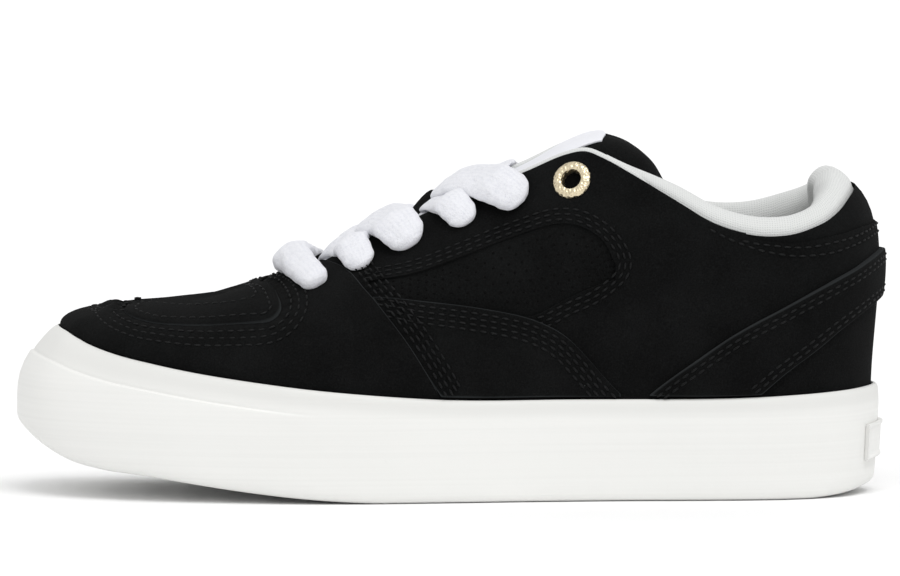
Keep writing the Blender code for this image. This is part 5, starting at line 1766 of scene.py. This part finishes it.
def make_heel_label():
    """Bare moulded plate on the back of the sidewall, with a raised border."""
    columns, rows = 60, 24
    across = np.linspace(-0.5, 0.5, columns + 1) * HEEL_LABEL_WIDTH
    share, points, _ = OUTLINE
    around = -across / np.hypot(*np.diff(points[share >= 0], axis=0).T).sum()
    low = HEEL_LABEL_FOOT / SIDEWALL_HEIGHT
    levels = np.linspace(low, low + HEEL_LABEL_HEIGHT / SIDEWALL_HEIGHT, rows + 1)
    grid_around, grid_level = np.meshgrid(around, levels, indexing="ij")
    from_side, from_end = (np.minimum(np.arange(count + 1), count - np.arange(count + 1))
                           * size / count
                           for count, size in ((columns, HEEL_LABEL_WIDTH),
                                               (rows, HEEL_LABEL_HEIGHT)))
    rim = np.minimum(from_side[:, None], from_end[None, :])
    sunk = HEEL_LABEL_SINK * ramp(0.0010, 0.0017, rim)
    nets = [sole_point(grid_around, grid_level, np.zeros_like(grid_around)),
            sole_point(grid_around, grid_level, sunk - HEEL_LABEL_THICKNESS - CLEARANCE)]
    # the plate's marked border takes the rubber's painted top shade
    plate = piece("heel_plate", slab("heel_plate", *nets), finish("rubber"))
    return settle(baked(softened(plate, 0.0004, 3)), "sole_rubber", "heel_label")


# Eyelets

EYELET_PROFILE = [          # radius in hole radii, and height over the suede, outwards
    (0.955, -0.0022), (0.96, -0.0005), (0.99, 0.0005), (1.06, 0.0010), (1.20, 0.0012),
    (1.45, 0.00115), (1.74, 0.0010), (1.90, 0.0006), (1.98, 0.0001), (1.98, -0.0003),
]


def make_eyelets():
    """Pressed metal rings in the top pair of holes, with a disc of painted shade behind them."""
    turns = full_turn(72)
    hole = EYELET_HOLE / 2
    for sign, side in ((1, "outer"), (-1, "inner")):
        place = np.array(facing(EYELETS[-1], sign))
        rings = []
        for radius, height in EYELET_PROFILE:
            flat = np.stack([np.cos(turns) * radius * hole, np.sin(turns) * radius * hole,
                             np.full_like(turns, height), np.ones_like(turns)], axis=1)
            rings.append((flat @ place.T)[:, :3])
        mesh = cleaned(net("ring", np.stack(rings), closed=True), solid=False)
        ring = piece("eyelet_ring_" + side, mesh, finish("metal"))
        thickened(ring, EYELET_SHEET, False)
        settle(baked(ring), "eyelet_metal", "eyelet_" + side)
        # a dark disc of painted shade inside the ring
        shape = bmesh.new()
        behind = facing(EYELETS[-1], sign) @ Matrix.Translation((0.0, 0.0, -0.0021))
        add_pin(shape, EYELET_HOLE * 0.95, 0.0004, behind, 32)
        backing = piece("eyelet_backing_" + side, mesh_of("backing", shape), finish("hole"))
        settle(backing, "suede")


# Laces

# A lobe: its place between two holes, 0 low to 1 high, its lift over the throat and its
# thickness there; its lift and thickness at the throat's edge; thickness on the wall; width
# over the throat and on the wall; how far its rounded end reaches past the hole
Lobe = namedtuple("Lobe", "place lift flat edge swell puff width face beyond")
BAR = Lobe(0.0, 0.0004, 0.0090, 0.0050, 0.0086, 0.0078, 0.0130, 0.0118, 0.0086)
NEAR_LOBES = [              # crossings that end on the outer side, toe to ankle
    Lobe(0.50, 0.0010, 0.0046, 0.0001, 0.0044, 0.0064, 0.0170, 0.0126, 0.0074),
    Lobe(0.25, 0.0028, 0.0046, 0.0022, 0.0066, 0.0080, 0.0180, 0.0162, 0.0068),
    Lobe(0.50, 0.0008, 0.0036, 0.0006, 0.0038, 0.0064, 0.0150, 0.0124, 0.0068),
    Lobe(-0.15, 0.0036, 0.0048, 0.0020, 0.0060, 0.0078, 0.0180, 0.0160, 0.0062),
]
FAR_LOBE = Lobe(0.55, 0.0004, 0.0034, 0.0003, 0.0026, 0.0058, 0.0130, 0.0120, 0.0062)
BAR_PLACE = 0.675           # around: the bar crosses the ridge here
BAR_START = 0.664           # around: and comes down over the throat's edges here
LACE_LEAN = 0.18            # how far a crossing leans over on its front edge
Run = namedtuple("Run", "knot face width depth")


def throat_normal(around):
    """Upward normal of the throat's slope, square across the shoe."""
    slope = top_point(np.array(around - 0.02)) - top_point(np.array(around + 0.02))
    return unit(np.array([-slope[2], 0.0, slope[0]]))


def leaning(normal, sign):
    """A lace's face turned a little to the front and to its near side."""
    return unit(normal + LACE_LEAN * np.array([-0.6, -0.8 * sign, 0.0]))


def near_end(start, hole, sign, lobe):
    """Runs from the eyestay's edge down its face to past the hole."""
    around = sign * np.array([start, (start + hole.around) / 2, hole.around])
    ups = np.array([1.0, 1.0 - 0.5 * (1.0 - hole.up), hole.up])
    lifts = np.array([lobe.edge, 0.48 * lobe.puff, 0.40 * lobe.puff])
    faces = SKIN.normal(around, ups)
    faces[0] = leaning(faces[0] + 1.4 * throat_normal(start), sign)
    knots = SKIN.at(around, ups, lifts)
    knots[0] = top_point(np.array(sign * start)) + faces[0] * lifts[0]
    tip = knots[-1] + unit(knots[-1] - knots[-2]) * lobe.beyond - faces[-1] * 0.12 * lobe.puff
    return [Run(knots[0], faces[0], (lobe.width + lobe.face) / 2, lobe.swell),
            Run(knots[1], faces[1], lobe.face, lobe.puff),
            Run(knots[2], faces[2], lobe.face * 0.94, lobe.puff * 0.92),
            Run(tip, faces[2], lobe.face * 0.80, lobe.puff * 0.78)]


def neck_mesh(hole, sign):
    """The narrow run of a lace down through its hole."""
    shape = bmesh.new()
    sunk = facing(hole, sign) @ Matrix.Translation((0.0, 0.0, -0.0020))
    add_pin(shape, NECK_WIDTH, NECK_DEPTH, sunk, 20)
    return mesh_of("neck", shape)


def crossing_route(low, high, sign, lobe):
    """From the throat's far side, over the tongue and the near edge, into the near hole."""
    def level(share):
        return low.around + (high.around - low.around) * share

    def over_throat(share, across, lift):
        near, far = (top_point(np.array(turn * level(share))) for turn in (sign, -sign))
        return (near + far) / 2 + (far - near) / 2 * across + up * lift

    up = throat_normal(level(lobe.place))
    start = over_throat(lobe.place - 0.35, 0.70, -0.0022)
    middle = over_throat(lobe.place, 0.0, lobe.lift)
    return [Run(start, up, lobe.width * 0.8, lobe.flat * 0.8),
            Run(middle, leaning(up, sign), lobe.width, lobe.flat),
            *near_end(level(0.6 + 0.3 * lobe.place), high, sign, lobe)]


def bar_route(lobe):
    """The lowest lace, bowed over the ridge from hole to hole."""
    near, far = (near_end(BAR_START, EYELETS[0], sign, lobe) for sign in (1, -1))
    up = throat_normal(BAR_PLACE)
    middle = top_point(np.array(BAR_PLACE)) + up * (lobe.flat / 2 + lobe.lift)
    return [*near[::-1], Run(middle, up, lobe.width, lobe.flat), *far]


def lace_mesh(runs, closed_start):
    """Soft flat tube along the runs, its broad face square to their normals."""
    knots = np.array([run.knot for run in runs])
    lengths = run_lengths(knots)
    places = np.linspace(0.0, lengths[-1], 96)
    line = eased_points(lengths, knots, places)
    face = eased_points(lengths, [run.face for run in runs], places)
    width = eased(lengths, [run.width for run in runs], places)
    depth = eased(lengths, [run.depth for run in runs], places)
    along = unit(np.gradient(line, axis=0))
    wide = unit(np.cross(along, face))
    thick = np.cross(wide, along)
    from_end = lengths[-1] - places
    if closed_start:
        from_end = np.minimum(from_end, places)
    closing = 1.0 - np.clip(from_end / (0.42 * width), 0.0, 1.0)
    slim = np.sqrt(np.clip(1.0 - closing ** 2.2, 0.0, 1.0))
    width = width * (0.04 + 0.96 * slim)
    depth = depth * (0.15 + 0.85 * slim)
    ring = []
    for turn in full_turn(40):
        flat, high = (math.copysign(abs(part) ** 0.92, part)
                      for part in (math.cos(turn), math.sin(turn)))
        ring.append(line + wide * (width * flat / 2)[:, None] + thick * (depth * high / 2)[:, None])
    points = np.stack(ring, axis=1)
    lumps = (np.sin(points[..., 0] * 690.0 + points[..., 1] * 410.0 + 1.0)
             * np.sin(points[..., 1] * 520.0 - points[..., 2] * 760.0)) * 0.00025
    creases = np.sin(points[..., 0] * 1250.0 - points[..., 2] * 1450.0) * 0.00008
    out = unit(points - line[:, None])
    points = points + out * (lumps + creases)[..., None]
    return cleaned(net("lace", points, closed=True, capped=True))


def make_laces():
    """The bar, eight crossings and their necks in the holes, joined in one object."""
    meshes = [lace_mesh(bar_route(BAR), True)]
    for number in range(1, len(EYELETS) - 1):
        for sign, lobe in ((1, NEAR_LOBES[number - 1]), (-1, FAR_LOBE)):
            route = crossing_route(EYELETS[number - 1], EYELETS[number], sign, lobe)
            meshes.append(lace_mesh(route, False))
    meshes += [neck_mesh(hole, sign) for hole in EYELETS[:-1] for sign in (1, -1)]
    laces = piece("cotton_laces", merged("laces", meshes), finish("cotton"), 60.0)
    return settle(laces, "cotton", "laces")


# Stage

FLOOR_SIZE = 30.0
WORLD_STRENGTH = 0.80
LAMPS = [                   # name, turn in degrees, strength, width of the source in degrees
    ("key", (24.0, 13.0, 0.0), 1.25, 45.0),
    ("fill", (60.0, 10.0, 0.0), 0.12, 60.0),
]


def make_stage():
    """Pale floor, soft light from all round, a broad lamp above and the long lens."""
    bpy.ops.mesh.primitive_plane_add(size=FLOOR_SIZE)
    floor = bpy.context.object
    floor.name = "floor"
    floor.data.transform(Matrix.Translation((0.0, 0.0, SOLE_LOW.z - 0.0001)))
    floor.data.materials.append(plain_finish("pale floor", (0.93, 0.93, 0.93), 0.9))
    world = bpy.data.worlds.new("studio")
    bpy.context.scene.world = world
    world.use_nodes = True
    light = world.node_tree.nodes["Background"].inputs
    light["Color"].default_value = (1.0, 1.0, 1.0, 1.0)
    light["Strength"].default_value = WORLD_STRENGTH
    for name, turn, strength, spread in LAMPS:
        lamp = bpy.data.lights.new(name, "SUN")
        lamp.energy = strength
        lamp.angle = math.radians(spread)
        linked(name, lamp).rotation_euler = [math.radians(angle) for angle in turn]
    lens = bpy.data.cameras.new("camera")
    lens.sensor_width = 36.0
    lens.lens = lens.sensor_width * CAMERA_DISTANCE / VIEW_WIDTH
    lens.clip_end = 100.0
    camera = linked("camera", lens)
    rise = math.radians(CAMERA_RISE)
    back = Vector((0.0, -math.cos(rise), math.sin(rise)))
    camera.location = Vector(VIEW_CENTRE) + back * CAMERA_DISTANCE
    camera.rotation_euler = (math.pi / 2 - rise, 0.0, 0.0)
    bpy.context.scene.camera = camera
    bpy.context.scene.view_settings.view_transform = "Standard"


# Operators, one for each piece or group of pieces

class Undoable:
    """What the operators share."""
    bl_options = {"REGISTER", "UNDO"}


class SHOE_OT_sole(Undoable, bpy.types.Operator):
    """Rubber cup sole with its toe bumper and its tread"""
    bl_idname = "shoe.sole"
    bl_label = "Sole"

    def execute(self, context):
        make_sole()
        return {"FINISHED"}


class SHOE_OT_upper(Undoable, bpy.types.Operator):
    """Hollow suede upper with its vamp step, window, heel band and holes"""
    bl_idname = "shoe.upper"
    bl_label = "Upper"

    def execute(self, context):
        make_upper()
        return {"FINISHED"}


class SHOE_OT_overlays(Undoable, bpy.types.Operator):
    """Side panels and heel strap"""
    bl_idname = "shoe.overlays"
    bl_label = "Overlays"

    def execute(self, context):
        make_overlays()
        return {"FINISHED"}


class SHOE_OT_apron(Undoable, bpy.types.Operator):
    """Plug over the toes"""
    bl_idname = "shoe.apron"
    bl_label = "Apron"

    def execute(self, context):
        make_apron()
        return {"FINISHED"}


class SHOE_OT_stitching(Undoable, bpy.types.Operator):
    """Rows of stitches along the seams"""
    bl_idname = "shoe.stitching"
    bl_label = "Stitching"

    def execute(self, context):
        make_stitching(context.scene.shoe_sizes)
        return {"FINISHED"}


class SHOE_OT_vents(Undoable, bpy.types.Operator):
    """Small holes in the window of each side"""
    bl_idname = "shoe.vents"
    bl_label = "Vents"

    def execute(self, context):
        make_vents(context.scene.shoe_sizes)
        return {"FINISHED"}


class SHOE_OT_lining(Undoable, bpy.types.Operator):
    """Mesh lining and the rolled edging of the throat"""
    bl_idname = "shoe.lining"
    bl_label = "Lining"

    def execute(self, context):
        make_lining()
        return {"FINISHED"}


class SHOE_OT_collar_pad(Undoable, bpy.types.Operator):
    """Padded mesh collar"""
    bl_idname = "shoe.collar_pad"
    bl_label = "Collar pad"

    def execute(self, context):
        make_collar_pad()
        return {"FINISHED"}


class SHOE_OT_insole(Undoable, bpy.types.Operator):
    """Cloth covered insole"""
    bl_idname = "shoe.insole"
    bl_label = "Insole"

    def execute(self, context):
        make_insole()
        return {"FINISHED"}


class SHOE_OT_tongue(Undoable, bpy.types.Operator):
    """Padded tongue with its lining"""
    bl_idname = "shoe.tongue"
    bl_label = "Tongue"

    def execute(self, context):
        make_tongue()
        return {"FINISHED"}


class SHOE_OT_labels(Undoable, bpy.types.Operator):
    """Bare labels of the tongue and the heel"""
    bl_idname = "shoe.labels"
    bl_label = "Labels"

    def execute(self, context):
        make_tongue_label()
        make_heel_label()
        return {"FINISHED"}


class SHOE_OT_eyelets(Undoable, bpy.types.Operator):
    """Metal rings of the top pair of holes"""
    bl_idname = "shoe.eyelets"
    bl_label = "Eyelets"

    def execute(self, context):
        make_eyelets()
        return {"FINISHED"}


class SHOE_OT_laces(Undoable, bpy.types.Operator):
    """Fat cotton laces through the lower five pairs of holes"""
    bl_idname = "shoe.laces"
    bl_label = "Laces"

    def execute(self, context):
        make_laces()
        return {"FINISHED"}


class SHOE_OT_stage(Undoable, bpy.types.Operator):
    """Floor, light and camera"""
    bl_idname = "shoe.stage"
    bl_label = "Stage"

    def execute(self, context):
        make_stage()
        return {"FINISHED"}


class SHOE_PT_pieces(bpy.types.Panel):
    """Settings and makers of the shoe's pieces"""
    bl_label = "Skateboarding shoe"
    bl_space_type = "VIEW_3D"
    bl_region_type = "UI"
    bl_category = "Shoe"

    def draw(self, context):
        for group in (context.scene.shoe_sizes, context.scene.shoe_colours):
            box = self.layout.box()
            for setting in group.bl_rna.properties:
                if setting.identifier not in ("rna_type", "name"):
                    box.prop(group, setting.identifier)
        for kind in OPERATORS:
            self.layout.operator(kind.bl_idname)


OPERATORS = [
    SHOE_OT_sole, SHOE_OT_upper, SHOE_OT_overlays, SHOE_OT_apron, SHOE_OT_stitching,
    SHOE_OT_vents, SHOE_OT_lining, SHOE_OT_collar_pad, SHOE_OT_insole, SHOE_OT_tongue,
    SHOE_OT_labels, SHOE_OT_eyelets, SHOE_OT_laces, SHOE_OT_stage,
]
CLASSES = [ShoeColours, ShoeSizes, *OPERATORS, SHOE_PT_pieces]


def register():
    for kind in CLASSES:
        bpy.utils.register_class(kind)
    bpy.types.Scene.shoe_colours = PointerProperty(type=ShoeColours)
    bpy.types.Scene.shoe_sizes = PointerProperty(type=ShoeSizes)


def unregister():
    del bpy.types.Scene.shoe_sizes
    del bpy.types.Scene.shoe_colours
    for kind in reversed(CLASSES):
        bpy.utils.unregister_class(kind)


def main():
    register()
    for kind in OPERATORS:
        getattr(bpy.ops.shoe, kind.bl_idname.split(".")[1])()


if __name__ == "__main__":
    main()
